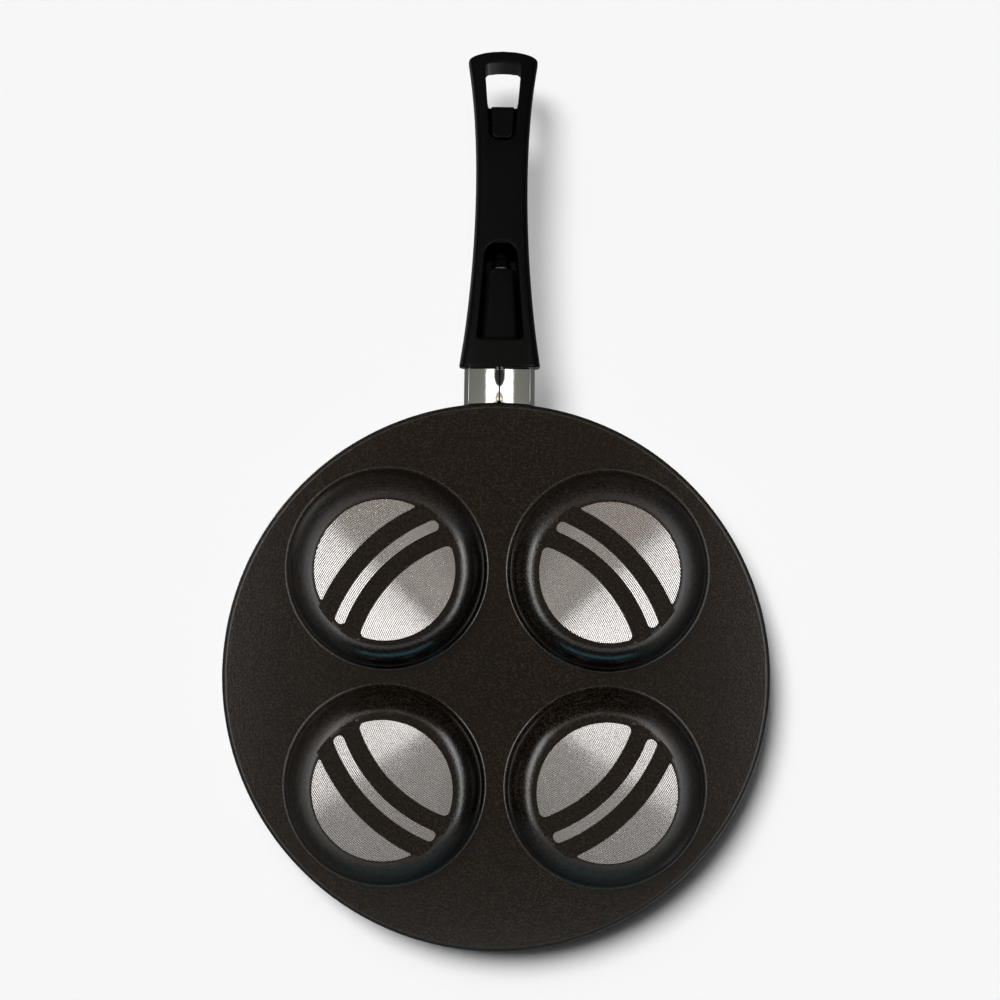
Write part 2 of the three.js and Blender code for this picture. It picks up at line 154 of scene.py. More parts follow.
class HandleSizes(PropertyGroup):
    """The moulded handle and its seat on the rim."""

    rise: angle("Rise", "Slope of the handle's axis", 9)
    root_height: length("Root height", "Height of the handle's axis at the rim", 24 * MM)
    front: length("Front", "From the rim to the handle's front", 15.6 * MM)
    body_length: length("Length", "Length of the moulding", 160.08 * MM)
    spigot_from: length("Spigot", "From the rim to the spigot's tip", 8.1 * MM)
    front_width: length("Front width", "Width at the front", 39 * MM)
    waist_width: length("Waist width", "Width at the narrowest place", 25.2 * MM)
    tail_width: length("Tail width", "Width at the tail", 34.5 * MM)
    waist_from_tail: length("Waist place", "From the tail to the narrowest place", 67.3 * MM)
    front_above: length("Front above", "Height over the axis at the front", 9.2 * MM)
    front_below: length("Front below", "Depth under the axis at the front", 9.8 * MM)
    waist_above: length("Waist above", "Height over the axis at the waist", 8.8 * MM)
    waist_below: length("Waist below", "Depth under the axis at the waist", 8.6 * MM)
    tail_above: length("Tail above", "Height over the axis at the tail", 7.1 * MM)
    tail_below: length("Tail below", "Depth under the axis at the tail", 7.4 * MM)
    tail_arc: length("Tail arc", "Radius of the tail's bowed end", 48 * MM)
    tail_rounding: length("Tail rounding", "Rounding of the tail's edge", 1.2 * MM)
    front_rounding: length("Front rounding", "Rounding of the front edge", 1 * MM)
    grain: length("Grain", "Size of the moulded surface's fine grain", 0.35 * MM)
    voxel: length("Fineness", "Cell size of the handle's final skin", 0.38 * MM)


class PocketSizes(PropertyGroup):
    """The screw pocket, the hook recess and the hanging hole in the handle."""

    from_front: length("Pocket place", "From the handle's front to the screw pocket", 14.3 * MM)
    pocket_length: length("Pocket length", "Length of the screw pocket", 47.7 * MM)
    front_width: length("Pocket front", "Width of the screw pocket towards the pan", 22.2 * MM)
    back_width: length("Pocket back", "Width of the screw pocket towards the tail", 14.4 * MM)
    front_corner: length("Pocket corner", "Rounding of the pocket's front corners", 1.6 * MM)
    lip_width: length("Lip width", "Plan width of the step round the pocket's mouth", 0.6 * MM)
    lip_depth: length("Lip depth", "Depth of that step", 0.7 * MM)
    boss_length: length("Boss length", "From the pocket's front to the screw's seat", 35.3 * MM)
    boss_front_width: length("Boss front width", "Width of the boss at the pocket's front", 18.6 * MM)
    boss_front_depth: length("Boss front depth", "Depth of the boss there under the axis", 8.4 * MM)
    boss_back_width: length("Boss back width", "Width of the boss at the screw's seat", 13.8 * MM)
    boss_back_depth: length("Boss back depth", "Depth of the boss there under the axis", 5.9 * MM)
    driver_radius: length("Driver bore", "Radius of the bore for the screwdriver", 4.4 * MM)
    hole_from_tail: length("Hole place", "From the hanging hole to the tail", 5.4 * MM)
    hole_length: length("Hole length", "Length of the hanging hole", 23.3 * MM)
    hole_near_width: length("Hole near width", "Width of the hanging hole towards the pan", 14.7 * MM)
    hole_far_width: length("Hole far width", "Width of the hanging hole towards the tail", 18 * MM)
    hole_crown: length("Hole crown", "How far the hole's far end bows out", 1.6 * MM)
    recess_length: length("Recess length", "From the hook recess's front to the hanging hole", 17.5 * MM)
    recess_near_width: length("Recess near width", "Width of the hook recess at its front", 12.8 * MM)
    recess_far_width: length("Recess far width", "Width of the hook recess at the hole", 14.4 * MM)
    recess_corner: length("Recess corner", "Rounding of the recess's front corners", 4.4 * MM)
    channel_depth: length("Channel depth", "Depth of the channel round the recess's island", 2.6 * MM)
    channel_width: length("Channel width", "Width of that channel", 1.5 * MM)
    island_depth: length("Island depth", "How far the island lies under the surface", 0.6 * MM)
    slot_depth: length("Slot depth", "Depth of the two slots beside the island", 5.2 * MM)
    slot_width: length("Slot width", "Width of those slots", 1.2 * MM)


class FerruleSizes(PropertyGroup):
    """The rolled sheet sleeve between the rim and the handle."""

    width: length("Width", "Outside width", 33.8 * MM)
    crease: length("Crease", "Between the two bends beside the flat underside", 29.2 * MM)
    below: length("Below", "From the axis to the underside", 7.2 * MM)
    above: length("Above", "From the axis to the crown", 6.6 * MM)
    bow: length("Bow", "How far the underside bows out", 0.8 * MM)
    sheet: length("Sheet", "Thickness of the sheet", 0.8 * MM)
    seam: length("Seam", "Width of the open seam", 0.7 * MM)
    crease_radius: length("Crease radius", "Rounding of the bends", 0.4 * MM)
    gap: length("Gap", "Clearance to the rim", 0.3 * MM)
    socket: length("Socket", "Length inside the handle, measured underneath", 6.2 * MM)
    dent: length("Dent", "How far the seam turns in before the handle", 0.55 * MM)
    pan_dent: length("Pan dent", "How far the seam turns in at the rim", 0.3 * MM)
    seam_corner: length("Seam corner", "Rounding of the seam's corners at the rim", 1.3 * MM)


class FasteningSizes(PropertyGroup):
    """The stud, the screw and its washers."""

    screw_radius: length("Screw radius", "Radius of the screw's shank", 2.5 * MM)
    screw_length: length("Screw length", "From the tip to the seat of the head", 65 * MM)
    thread_length: length("Thread length", "Length of the threaded end", 33 * MM)
    head_radius: length("Head radius", "Radius of the screw's head", 4.25 * MM)
    head_height: length("Head height", "Height of the screw's head", 3.3 * MM)
    cross_span: length("Cross span", "Length of the cross recess's arms, tip to tip", 5.2 * MM)
    cross_width: length("Cross width", "Width of those arms", 1.1 * MM)
    washer_radius: length("Washer radius", "Radius of the plain washer", 4.75 * MM)
    washer_thickness: length("Washer thickness", "Thickness of the plain washer", 1 * MM)
    spring_radius: length("Spring washer radius", "Radius of the split washer", 4.4 * MM)
    spring_thickness: length("Spring washer thickness", "Thickness of the split washer", 1.2 * MM)
    stud_radius: length("Stud radius", "Radius of the stud", 4 * MM)
    stud_length: length("Stud length", "From the rim to the stud's end", 13.2 * MM)
    flange_radius: length("Flange radius", "Radius of the stud's weld flange", 5.2 * MM)
    flange_from: length("Flange near", "From the rim to the flange", 0.9 * MM)
    flange_to: length("Flange far", "From the rim to the flange's outer face", 2.2 * MM)


class Finishes(PropertyGroup):
    """Colours of the pan's own materials."""

    coating: colour("Coating", "Non-stick coating on the outside", (14, 8, 3))
    coating_inside: colour("Inside", "Non-stick coating in the wells", (30, 29, 29))
    aluminium: colour("Aluminium", "Turned bare aluminium", (204, 201, 199))
    thermoset: colour("Thermoset", "Moulded handle", (4, 4, 4))
    steel: colour("Steel", "Polished ferrule", (205, 206, 203))
    dark_steel: colour("Dark steel", "Blackened screw", (22, 22, 23))
    zinc: colour("Zinc", "Bright zinc washer", (205, 207, 210))


class Studio(PropertyGroup):
    """Backdrops, lamps and the camera."""

    paper: colour("Paper", "Backdrop seen from below and behind", (247, 247, 247))
    floor: colour("Floor", "Floor under the pan", (236, 236, 236))
    backdrop_height: length("Backdrop height", "Of the level paper over the turned faces", 38 * MM)
    backdrop_slope: number("Backdrop slope", "Rise of the paper behind the handle", 0.19)
    bend_from: length("Bend from", "From the pan's axis to where the paper starts to rise", 20 * MM)
    bend_length: length("Bend length", "How far the paper takes to bend into its slope", 40 * MM)
    slope_length: length("Slope length", "From the bend's start to the slope's end", 220 * MM)
    # Painted light: from here to there the backdrop glows by emission, which lightens the handle's shadow; no
    # lamp shines through the paper
    glow_from: length("Lit from", "From the pan's axis to where light starts to come through", 90 * MM)
    glow_to: length("Lit to", "From the pan's axis to where that light is full", 150 * MM)
    painted_glow: share("Backlight", "Share of the light behind the handle that the paper lets through", 0.42)
    lens: number("Lens", "Focal length in millimetres", 54.72)
    camera_depth: length("Camera depth", "How far under the turned faces the camera stands", 0.702)
    camera_across: length("Camera across", "Camera's place across the pan", -0.9 * MM)
    camera_along: length("Camera along", "From the pan's axis towards the handle", 83.9 * MM)
    roll: angle("Roll", "How far the camera is turned about its view", 0.67)
    side_level: number("Side level", "Radiance of the two side boxes", 5.1)
    wedge_tip: length("Wedge tip", "From the pan's axis to where the side boxes' edges would meet", -84 * MM)
    wedge_upper: number("Wedge upper", "Slope of the side boxes' edge towards the handle", 0.869)
    wedge_lower: number("Wedge lower", "Slope of the side boxes' other edge", -0.767)
    middle_level: number("Middle level", "Radiance of the small middle strip", 2.2)
    wide_level: number("Wide level", "Radiance of the wide strips", 1.32)
    key_level: number("Key level", "Strength of the even key from below", 3.14)
    fill_level: number("Fill level", "Strength of the fill from below", 0.79)


# Mesh making


def arc(x, y, radius, start, end, steps):
    """Points of an arc, in radians, both ends included."""
    turns = np.linspace(start, end, steps + 1)
    return [(x + radius * math.cos(t), y + radius * math.sin(t)) for t in turns]


def circle(x, y, radius, steps):
    """Points of a full circle, each once."""
    turns = np.arange(steps) * (2 * math.pi / steps)
    return [(x + radius * math.cos(t), y + radius * math.sin(t)) for t in turns]


def smooth(value, low, high):
    """0 below low, 1 above high, and an S-curve between."""
    t = min(max((value - low) / (high - low), 0), 1)
    return t * t * (3 - 2 * t)


class Skin:
    """Collects rings and flat patches that meet exactly, and welds them into one mesh."""

    def __init__(self):
        self.points = []
        self.faces = []
        self.slots = []

    def add(self, points, faces, slot=0):
        """Faces over points of their own; slot is one number or one for each face."""
        first = len(self.points)
        self.points.extend(points)
        self.faces.extend([first + i for i in face] for face in faces)
        self.slots.extend(slot if isinstance(slot, list) else [slot] * len(faces))

    def revolve(self, profile, steps, x=0.0, y=0.0, slot=0):
        """A band of revolution about the upright axis at x, y, from (radius, height) points."""
        points = [(px, py, z) for r, z in profile for px, py in circle(x, y, r, steps)]
        faces = []
        for ring in range(len(profile) - 1):
            for i in range(steps):
                a = ring * steps + i
                b = ring * steps + (i + 1) % steps
                faces.append((a, b, b + steps, a + steps))
        self.add(points, faces, slot)

    def disc(self, radius, height, steps, x=0.0, y=0.0, slot=0):
        """A flat disc as one many-sided face."""
        points = [(px, py, height) for px, py in circle(x, y, radius, steps)]
        self.add(points, [range(steps)], slot)

    def build(self, name, weld, sharp):
        """The welded mesh as an object, smooth but for edges sharper than the angle."""
        work = bmesh.new()
        verts = [work.verts.new(p) for p in self.points]
        for face, slot in zip(self.faces, self.slots):
            work.faces.new([verts[i] for i in face]).material_index = slot
        bmesh.ops.remove_doubles(work, verts=work.verts, dist=weld)
        bmesh.ops.dissolve_degenerate(work, edges=work.edges, dist=weld / 4)
        bmesh.ops.recalc_face_normals(work, faces=work.faces)
        return mesh_object(name, work, sharp)


def mesh_object(name, work, sharp=30):
    """A linked object from a bmesh, smooth but for edges sharper than the angle."""
    limit = math.radians(sharp)
    for edge in work.edges:
        edge.smooth = len(edge.link_faces) == 2 and edge.calc_face_angle(0) < limit
    for face in work.faces:
        face.smooth = True
    mesh = bpy.data.meshes.new(name)
    work.to_mesh(mesh)
    work.free()
    made = bpy.data.objects.new(name, mesh)
    bpy.context.scene.collection.objects.link(made)
    return made


def weigh_normals(made):
    """Lets the large flat faces set the shading at their edges."""
    modifier = made.modifiers.new("Weighted normals", "WEIGHTED_NORMAL")
    modifier.mode = "FACE_AREA"
    modifier.weight = 100
    modifier.keep_sharp = True


def triangulate(points, edges, keep):
    """Constrained triangles over 2-D points and edges, kept where keep(x, y) says so."""
    found, _, faces, *_ = delaunay_2d_cdt([Vector(p) for p in points], edges, [], 0, 1e-8)
    kept = []
    for face in faces:
        x = sum(found[i].x for i in face) / len(face)
        y = sum(found[i].y for i in face) / len(face)
        if keep(x, y):
            kept.append(tuple(face))
    return [(p.x, p.y) for p in found], kept


class Outline:
    """Points and edges of several curves for one triangulation."""

    def __init__(self):
        self.points = []
        self.edges = []

    def loop(self, points):
        """Adds a closed curve."""
        first = len(self.points)
        count = len(points)
        self.points.extend(points)
        self.edges.extend((first + i, first + (i + 1) % count) for i in range(count))

    def path(self, points):
        """Adds an open curve."""
        first = len(self.points)
        self.points.extend(points)
        self.edges.extend((first + i, first + i + 1) for i in range(len(points) - 1))


# Shader making


class Shader:
    """Adds nodes to one material or group and joins them."""

    def __init__(self, tree):
        self.tree = tree

    def node(self, kind, values=None, **settings):
        """A new node with its settings and with values or links for its sockets."""
        made = self.tree.nodes.new(kind)
        for key, value in settings.items():
            setattr(made, key, value)
        for key, value in (values or {}).items():
            self.feed(made.inputs[key], value)
        return made

    def feed(self, socket, value):
        """Sets a socket from a number or colour, or links it to another socket."""
        if isinstance(value, bpy.types.NodeSocket):
            self.tree.links.new(value, socket)
        elif hasattr(value, "__len__") and len(socket.default_value) == 4 and len(value) == 3:
            socket.default_value = (*value, 1)
        else:
            socket.default_value = value

    def math(self, operation, a, b=0.0):
        """The result of an operation on one or two numbers."""
        return self.node("ShaderNodeMath", {0: a, 1: b}, operation=operation).outputs[0]

    def vector(self, operation, a, b=(0, 0, 0)):
        """The result of an operation on one or two vectors."""
        made = self.node("ShaderNodeVectorMath", {0: a, 1: b}, operation=operation)
        return made.outputs["Value" if operation in ("LENGTH", "DOT_PRODUCT") else "Vector"]

    def noise(self, place, scale, detail, roughness=0.5):
        """Noise from 0 to 1 at a place."""
        values = {"Vector": place, "Scale": scale, "Detail": detail, "Roughness": roughness}
        return self.node("ShaderNodeTexNoise", values).outputs["Fac"]

    def mix(self, factor, a, b):
        """Two colours mixed by a factor."""
        return self.node("ShaderNodeMix", {0: factor, 6: a, 7: b}, data_type="RGBA").outputs[2]

    def ramp(self, value, low, high, to_low, to_high):
        """A value moved from one range to another and held at its ends."""
        made = self.node("ShaderNodeMapRange", {"Value": value})
        self.feed(made.inputs["From Min"], low)
        self.feed(made.inputs["From Max"], high)
        self.feed(made.inputs["To Min"], to_low)
        self.feed(made.inputs["To Max"], to_high)
        return made.outputs[0]


def new_material(name):
    """A node material with its surface shader, and the shader to add nodes with."""
    material = bpy.data.materials.new(name)
    material.use_nodes = True
    tree = material.node_tree
    return material, Shader(tree), tree.nodes["Principled BSDF"]


def new_group(name, inputs, outputs):
    """A shader node group with named sockets, and the shader to fill it with."""
    tree = bpy.data.node_groups.new(name, "ShaderNodeTree")
    for label, kind, value in inputs:
        socket = tree.interface.new_socket(label, in_out="INPUT", socket_type=kind)
        socket.default_value = value
    for label, kind in outputs:
        tree.interface.new_socket(label, in_out="OUTPUT", socket_type=kind)
    shader = Shader(tree)
    return tree, shader, shader.node("NodeGroupInput").outputs, shader.node("NodeGroupOutput").inputs


def grain_group():
    """Fine bumps with a slow drift, for moulded and sprayed surfaces: a height and two masks."""
    if "Fine grain" in bpy.data.node_groups:
        return bpy.data.node_groups["Fine grain"]
    tree, shader, given, out = new_group(
        "Fine grain",
        [
            ("Size", "NodeSocketFloat", 0.0005),
            ("Sharpness", "NodeSocketFloat", 0.5),
            ("Drift", "NodeSocketFloat", 0.3),
        ],
        [("Height", "NodeSocketFloat"), ("Speckle", "NodeSocketFloat"), ("Patches", "NodeSocketFloat")],
    )
    place = shader.node("ShaderNodeTexCoord").outputs["Object"]
    scale = shader.math("DIVIDE", 1.0, given["Size"])
    fine = shader.noise(place, scale, 2.0, 0.6)
    cells = shader.node("ShaderNodeTexVoronoi", {"Vector": place, "Scale": scale}, feature="SMOOTH_F1")
    slow = shader.noise(place, 24.0, 4.0, 0.55)
    rough = shader.math("MULTIPLY", cells.outputs["Distance"], given["Sharpness"])
    height = shader.math("ADD", fine, rough)
    drift = shader.math("MULTIPLY", slow, given["Drift"])
    shader.feed(out["Height"], shader.math("ADD", height, drift))
    shader.feed(out["Speckle"], shader.ramp(fine, 0.48, 0.64, 0.0, 1.0))
    shader.feed(out["Patches"], shader.ramp(slow, 0.35, 0.65, 0.0, 1.0))
    return tree


def place_group(shader, tree, **values):
    """A node group placed in a material with its own values."""
    made = shader.node("ShaderNodeGroup")
    made.node_tree = tree
    for key, value in values.items():
        shader.feed(made.inputs[key.replace("_", " ").capitalize()], value)
    return made.outputs


def bump(shader, height, distance):
    """A normal from a height, in metres."""
    return shader.node("ShaderNodeBump", {"Height": height, "Distance": distance}).outputs["Normal"]


def from_axis(shader):
    """A place's level offset from its object's origin, which is the pan's axis on the pan body."""
    place = shader.node("ShaderNodeTexCoord").outputs["Object"]
    return shader.vector("MULTIPLY", place, (1, 1, 0))


def outward_lean(shader):
    """How far a surface leans away from the pan's axis: the share of its normal that points outwards."""
    outward = shader.vector("NORMALIZE", from_axis(shader))
    normal = shader.node("ShaderNodeTexCoord").outputs["Normal"]
    return shader.vector("DOT_PRODUCT", normal, outward)


def coating_material(name, colour_value, size, roughness, shine, roughness_outward=None):
    """Sprayed non-stick coating: a fine orange peel with lighter specks and slow patches.

    Given roughness_outward, walls that lean away from the pan's axis are as rough as that."""
    material, shader, surface = new_material(name)
    grain = place_group(shader, grain_group(), size=size, sharpness=0.5, drift=0.15)
    lighter = [c * 3.6 + 0.005 for c in colour_value]
    darker = [c * 0.15 for c in colour_value]
    base = shader.mix(grain["Speckle"], darker, lighter)
    base = shader.mix(shader.math("MULTIPLY", grain["Patches"], 0.35), base, colour_value)
    shader.feed(surface.inputs["Base Color"], base)
    if roughness_outward is None:
        dull = shader.ramp(grain["Patches"], 0.0, 1.0, roughness * 0.92, roughness * 1.08)
    else:
        dull = shader.ramp(outward_lean(shader), 0.02, 0.18, roughness, roughness_outward)
    shader.feed(surface.inputs["Roughness"], dull)
    surface.inputs["Specular IOR Level"].default_value = shine
    shader.feed(surface.inputs["Normal"], bump(shader, grain["Height"], size * 0.05))
    return material


def turned_material(sizes, colour_value):
    """Bare aluminium with the lathe's lines about the pan's axis, their slopes worked out from the radius,
    and painted shade: a darker colour along the lines' valleys.
    """
    material, shader, surface = new_material("turned_aluminium")
    place = shader.node("ShaderNodeTexCoord").outputs["Object"]
    offset = from_axis(shader)
    radius = shader.vector("LENGTH", offset)
    outward = shader.vector("NORMALIZE", offset)
    wander = shader.node("ShaderNodeTexNoise", {"Scale": 40.0, "Detail": 1.0}, noise_dimensions="1D")
    shader.feed(wander.inputs["W"], radius)
    turn = shader.math("MULTIPLY", radius, 2 * math.pi / sizes.line_pitch)
    turn = shader.math("ADD", turn, shader.math("MULTIPLY", wander.outputs["Fac"], 1.5))
    uneven = shader.noise(place, 60.0, 3.0)
    strength = shader.ramp(uneven, 0.3, 0.7, 0.92, 1.08)
    steepest = shader.math("MULTIPLY", strength, math.tan(sizes.line_slope))
    slope = shader.math("MULTIPLY", shader.math("SINE", turn), steepest)
    lean = shader.node("ShaderNodeVectorMath", {0: outward, "Scale": slope}, operation="SCALE")
    settings = {"vector_type": "VECTOR", "convert_from": "OBJECT", "convert_to": "WORLD"}
    turned = shader.node("ShaderNodeVectorTransform", {"Vector": lean.outputs[0]}, **settings)
    flat_normal = shader.node("ShaderNodeNewGeometry").outputs["Normal"]
    tilted = shader.vector("ADD", flat_normal, turned.outputs[0])
    shader.feed(surface.inputs["Normal"], shader.vector("NORMALIZE", tilted))
    # Painted shade: the lines' valleys get a darker colour, as if shade fell in them
    valley = shader.ramp(shader.math("COSINE", turn), -1.0, 0.2, 0.0, 1.0)
    valley_shade_colour = [c * 0.6 for c in colour_value]
    shader.feed(surface.inputs["Base Color"], shader.mix(valley, valley_shade_colour, colour_value))
    surface.inputs["Metallic"].default_value = 0.88
    shader.feed(surface.inputs["Roughness"], shader.ramp(uneven, 0.3, 0.7, 0.19, 0.23))
    surface.inputs["Anisotropic"].default_value = 0.9
    surface.inputs["Anisotropic Rotation"].default_value = 0.25
    tangent = shader.node("ShaderNodeTangent", direction_type="RADIAL", axis="Z")
    shader.feed(surface.inputs["Tangent"], tangent.outputs[0])
    return material


def thermoset_material(sizes, colour_value):
    """Black moulded thermoset with a fine spark-eroded grain."""
    material, shader, surface = new_material("black_thermoset")
    grain = place_group(shader, grain_group(), size=sizes.grain, sharpness=0.8, drift=0.1)
    lighter = [c * 2.2 + 0.001 for c in colour_value]
    shader.feed(surface.inputs["Base Color"], shader.mix(grain["Speckle"], colour_value, lighter))
    shader.feed(surface.inputs["Roughness"], shader.ramp(grain["Patches"], 0.0, 1.0, 0.27, 0.32))
    surface.inputs["Specular IOR Level"].default_value = 0.14
    shader.feed(surface.inputs["Normal"], bump(shader, grain["Height"], sizes.grain * 0.16))
    return material


def metal_material(name, colour_value, roughness, marks):
    """Plain metal with faint polishing marks and smudges."""
    material, shader, surface = new_material(name)
    grain = place_group(shader, grain_group(), size=marks, sharpness=0.2, drift=0.4)
    dull = [c * 0.9 for c in colour_value]
    shader.feed(surface.inputs["Base Color"], shader.mix(grain["Patches"], dull, colour_value))
    surface.inputs["Metallic"].default_value = 1.0
    smudged = roughness * 1.5 + 0.01
    shader.feed(surface.inputs["Roughness"], shader.ramp(grain["Patches"], 0.0, 1.0, roughness, smudged))
    shader.feed(surface.inputs["Normal"], bump(shader, grain["Height"], marks * 0.004))
    return material


# Pan body


def rim_offset(sizes, from_mid_wall, height):
    """Radius of a point that lies a given distance from the rim's mid-wall line, at a height."""
    half = sizes.sheet / 2
    lip_height = sizes.well_depth + sizes.rim_height - half
    rise = (height - lip_height) * math.sin(sizes.rim_draft)
    return sizes.rim_radius - half + (from_mid_wall + rise) / math.cos(sizes.rim_draft)


def rim_profile(sizes):
    """Points from the plate's underside, out over the lip and in to the plate's top."""
    half = sizes.sheet / 2
    draft = sizes.rim_draft
    plate_top = sizes.well_depth + sizes.sheet
    low = sizes.well_depth + sizes.rim_corner
    high = plate_top + sizes.rim_inner_corner
    lip_height = sizes.well_depth + sizes.rim_height - half
    radius = rim_offset(sizes, half - sizes.rim_corner, low)
    corner = arc(radius, low, sizes.rim_corner, -QUARTER, -draft, CORNER_STEPS)
    lip = arc(sizes.rim_radius - half, lip_height, half, -draft, math.pi - draft, LIP_STEPS)
    radius = rim_offset(sizes, -half - sizes.rim_inner_corner, high)
    inner = arc(radius, high, sizes.rim_inner_corner, -draft, -QUARTER, CORNER_STEPS)
    return corner + lip + inner


def rim_skin_radius(sizes, height):
    """Radius of the rim's outer skin at a height."""
    half = sizes.sheet / 2
    low = sizes.well_depth + sizes.rim_corner
    wall = rim_offset(sizes, half, height)
    if height > low - sizes.rim_corner * math.sin(sizes.rim_draft):
        return wall
    centre = rim_offset(sizes, half - sizes.rim_corner, low)
    below = min(low - height, sizes.rim_corner)
    return centre + math.sqrt(sizes.rim_corner**2 - below**2)


def well_ring_radius(sizes):
    """Radius at which a well's outer fillet meets the plate."""
    rise = (sizes.well_depth - sizes.well_fillet - sizes.well_corner) * math.sin(sizes.well_draft)
    return sizes.face_radius + (sizes.well_corner + sizes.well_fillet + rise) / math.cos(sizes.well_draft)


def shoulder_height(sizes, radius):
    """Height of a well's outer corner at a radius from the well's axis."""
    out = min(max(radius - sizes.face_radius, 0), sizes.well_corner)
    return sizes.well_corner - math.sqrt(sizes.well_corner**2 - out**2)


def land_outline(centre, face_radius, inner, outer, rounding, spacing=0.7 * MM):
    """The outline of a bright land: a disc between two circles about the pan's axis, with round corners.

    centre is the disc's, from the pan's axis; inner may be 0 and outer may be None."""
    distance = math.hypot(*centre)
    heading = math.atan2(centre[1], centre[0])

    def corner(radius, side_of_circle):
        """A fillet's centre, and the angles of its touching points about the disc and about the axis."""
        from_disc = face_radius - rounding
        from_axis = radius + side_of_circle * rounding
        along = (distance**2 + from_axis**2 - from_disc**2) / (2 * distance)
        across = math.sqrt(max(from_axis**2 - along**2, 0))
        on_disc = math.atan2(across, along - distance)
        on_circle = math.atan2(across, along)
        return (along, across), on_disc, on_circle

    points = []

    def sweep(x, y, radius, start, end):
        """Adds an arc without its last point."""
        steps = max(int(abs(end - start) * radius / spacing), 6)
        points.extend(arc(x, y, radius, start, end, steps)[:-1])

    limits = []
    if inner:
        limits.append(corner(inner, 1))
    if outer:
        limits.append(corner(outer, -1))
    near_disc = limits[0][1] if inner else math.pi
    far_disc = limits[-1][1] if outer else 0.0
    if inner:
        (x, y), on_disc, on_circle = limits[0]
        sweep(0, 0, inner, on_circle, -on_circle)
        sweep(x, -y, rounding, math.pi - on_circle, 2 * math.pi - on_disc)
    if outer:
        sweep(distance, 0, face_radius, -near_disc, -far_disc)
        (x, y), on_disc, on_circle = limits[-1]
        sweep(x, -y, rounding, -on_disc, -on_circle)
        sweep(0, 0, outer, -on_circle, on_circle)
        sweep(x, y, rounding, on_circle, on_disc)
        sweep(distance, 0, face_radius, far_disc, near_disc)
    else:
        sweep(distance, 0, face_radius, -near_disc, near_disc)
    if inner:
        (x, y), on_disc, on_circle = limits[0]
        sweep(x, y, rounding, on_disc, math.pi + on_circle)
    turn = Matrix.Rotation(heading, 2)
    return [tuple(turn @ Vector(p)) for p in points]


def inside(outline, x, y):
    """True if a point lies in a closed outline."""
    found = False
    for (ax, ay), (bx, by) in zip(outline, outline[1:] + outline[:1]):
        if (ay > y) != (by > y) and x < (bx - ax) * (y - ay) / (by - ay) + ax:
            found = not found
    return found


def well_bottom(skin, sizes, centre):
    """The turned face, its ring grooves and the first of the shoulder, about one well's axis."""
    cx, cy = centre
    face = sizes.face_radius
    lands = [
        land_outline(centre, face, 0, sizes.inner_from, sizes.lens_corner),
        land_outline(centre, face, sizes.inner_to, sizes.outer_from, sizes.bar_corner),
        land_outline(centre, face, sizes.outer_to, None, sizes.crescent_corner),
    ]
    grooves = ((sizes.inner_from, sizes.inner_to), (sizes.outer_from, sizes.outer_to))
    edge = face + SHOULDER_REACH
    up = sizes.well_corner - sizes.groove_depth
    fade = face + math.sqrt(sizes.well_corner**2 - up**2)
    past_fade = fade + 0.4 * MM
    outline = Outline()
    for radius in (edge, *np.linspace(face, edge, 9)[:-1], fade):
        outline.loop(circle(cx, cy, radius, sizes.steps))
    heading = math.atan2(cy, cx)
    reach = math.hypot(cx, cy)
    for low, high in grooves:
        for radius in (low, low + sizes.groove_wall, high - sizes.groove_wall, high):
            cosine = (radius**2 + reach**2 - past_fade**2) / (2 * radius * reach)
            spread = math.acos(min(max(cosine, -1), 1))
            outline.path(arc(0, 0, radius, heading - spread, heading + spread, GROOVE_STEPS))
    for land in lands:
        outline.loop(land)

    def height(x, y):
        """The pressed and turned surface's height over the faces that the pan stands on."""
        shoulder = shoulder_height(sizes, math.hypot(x - cx, y - cy))
        out = math.hypot(x, y)
        floor = 0.0
        for low, high in grooves:
            into = min(out - low, high - out) / sizes.groove_wall
            floor = max(floor, sizes.groove_depth * min(max(into, 0), 1))
        return max(shoulder, floor)

    def on_bottom(x, y):
        """True inside the outer edge of the turned face's own mesh."""
        return math.hypot(x - cx, y - cy) < edge * 1.0001

    points, faces = triangulate(outline.points, outline.edges, on_bottom)
    slots = []
    for corners in faces:
        x = sum(points[i][0] for i in corners) / 3
        y = sum(points[i][1] for i in corners) / 3
        slots.append(1 if any(inside(land, x, y) for land in lands) else 0)
    skin.add([(x, y, height(x, y)) for x, y in points], faces, slots)
    return edge


def add_well(skin, sizes, centre):
    """One well: its outside from the turned face to the plate, and its inside."""
    cx, cy = centre
    face = sizes.face_radius
    ring = well_ring_radius(sizes)
    draft = sizes.well_draft
    fillet_height = sizes.well_depth - sizes.well_fillet
    edge = well_bottom(skin, sizes, centre)
    start = math.asin((edge - face) / sizes.well_corner) - QUARTER
    corner = arc(face, sizes.well_corner, sizes.well_corner, start, -draft, 22)
    fillet = arc(ring, fillet_height, sizes.well_fillet, math.pi - draft, QUARTER, 12)
    skin.revolve(corner + fillet, sizes.steps, cx, cy)
    tight = sizes.well_corner - sizes.sheet
    wide = sizes.well_fillet + sizes.sheet
    corner = arc(face, sizes.well_corner, tight, -QUARTER, -draft, 24)
    mouth = arc(ring, fillet_height, wide, math.pi - draft, QUARTER, 14)
    skin.disc(face, sizes.sheet, sizes.steps, cx, cy, 2)
    skin.revolve(corner + mouth, sizes.steps, cx, cy, 2)


def add_plate(skin, sizes, centres, radius, height, slot):
    """One side of the plate, out to a radius and between the wells."""
    ring = well_ring_radius(sizes)
    outline = Outline()
    outline.loop(circle(0, 0, radius, 2 * sizes.steps))
    for cx, cy in centres:
        outline.loop(circle(cx, cy, ring, sizes.steps))

    def on_plate(x, y):
        """True between the wells and inside the plate's edge."""
        return math.hypot(x, y) < radius and all(math.hypot(x - cx, y - cy) > ring for cx, cy in centres)

    points, faces = triangulate(outline.points, outline.edges, on_plate)
    skin.add([(x, y, height) for x, y in points], faces, slot)


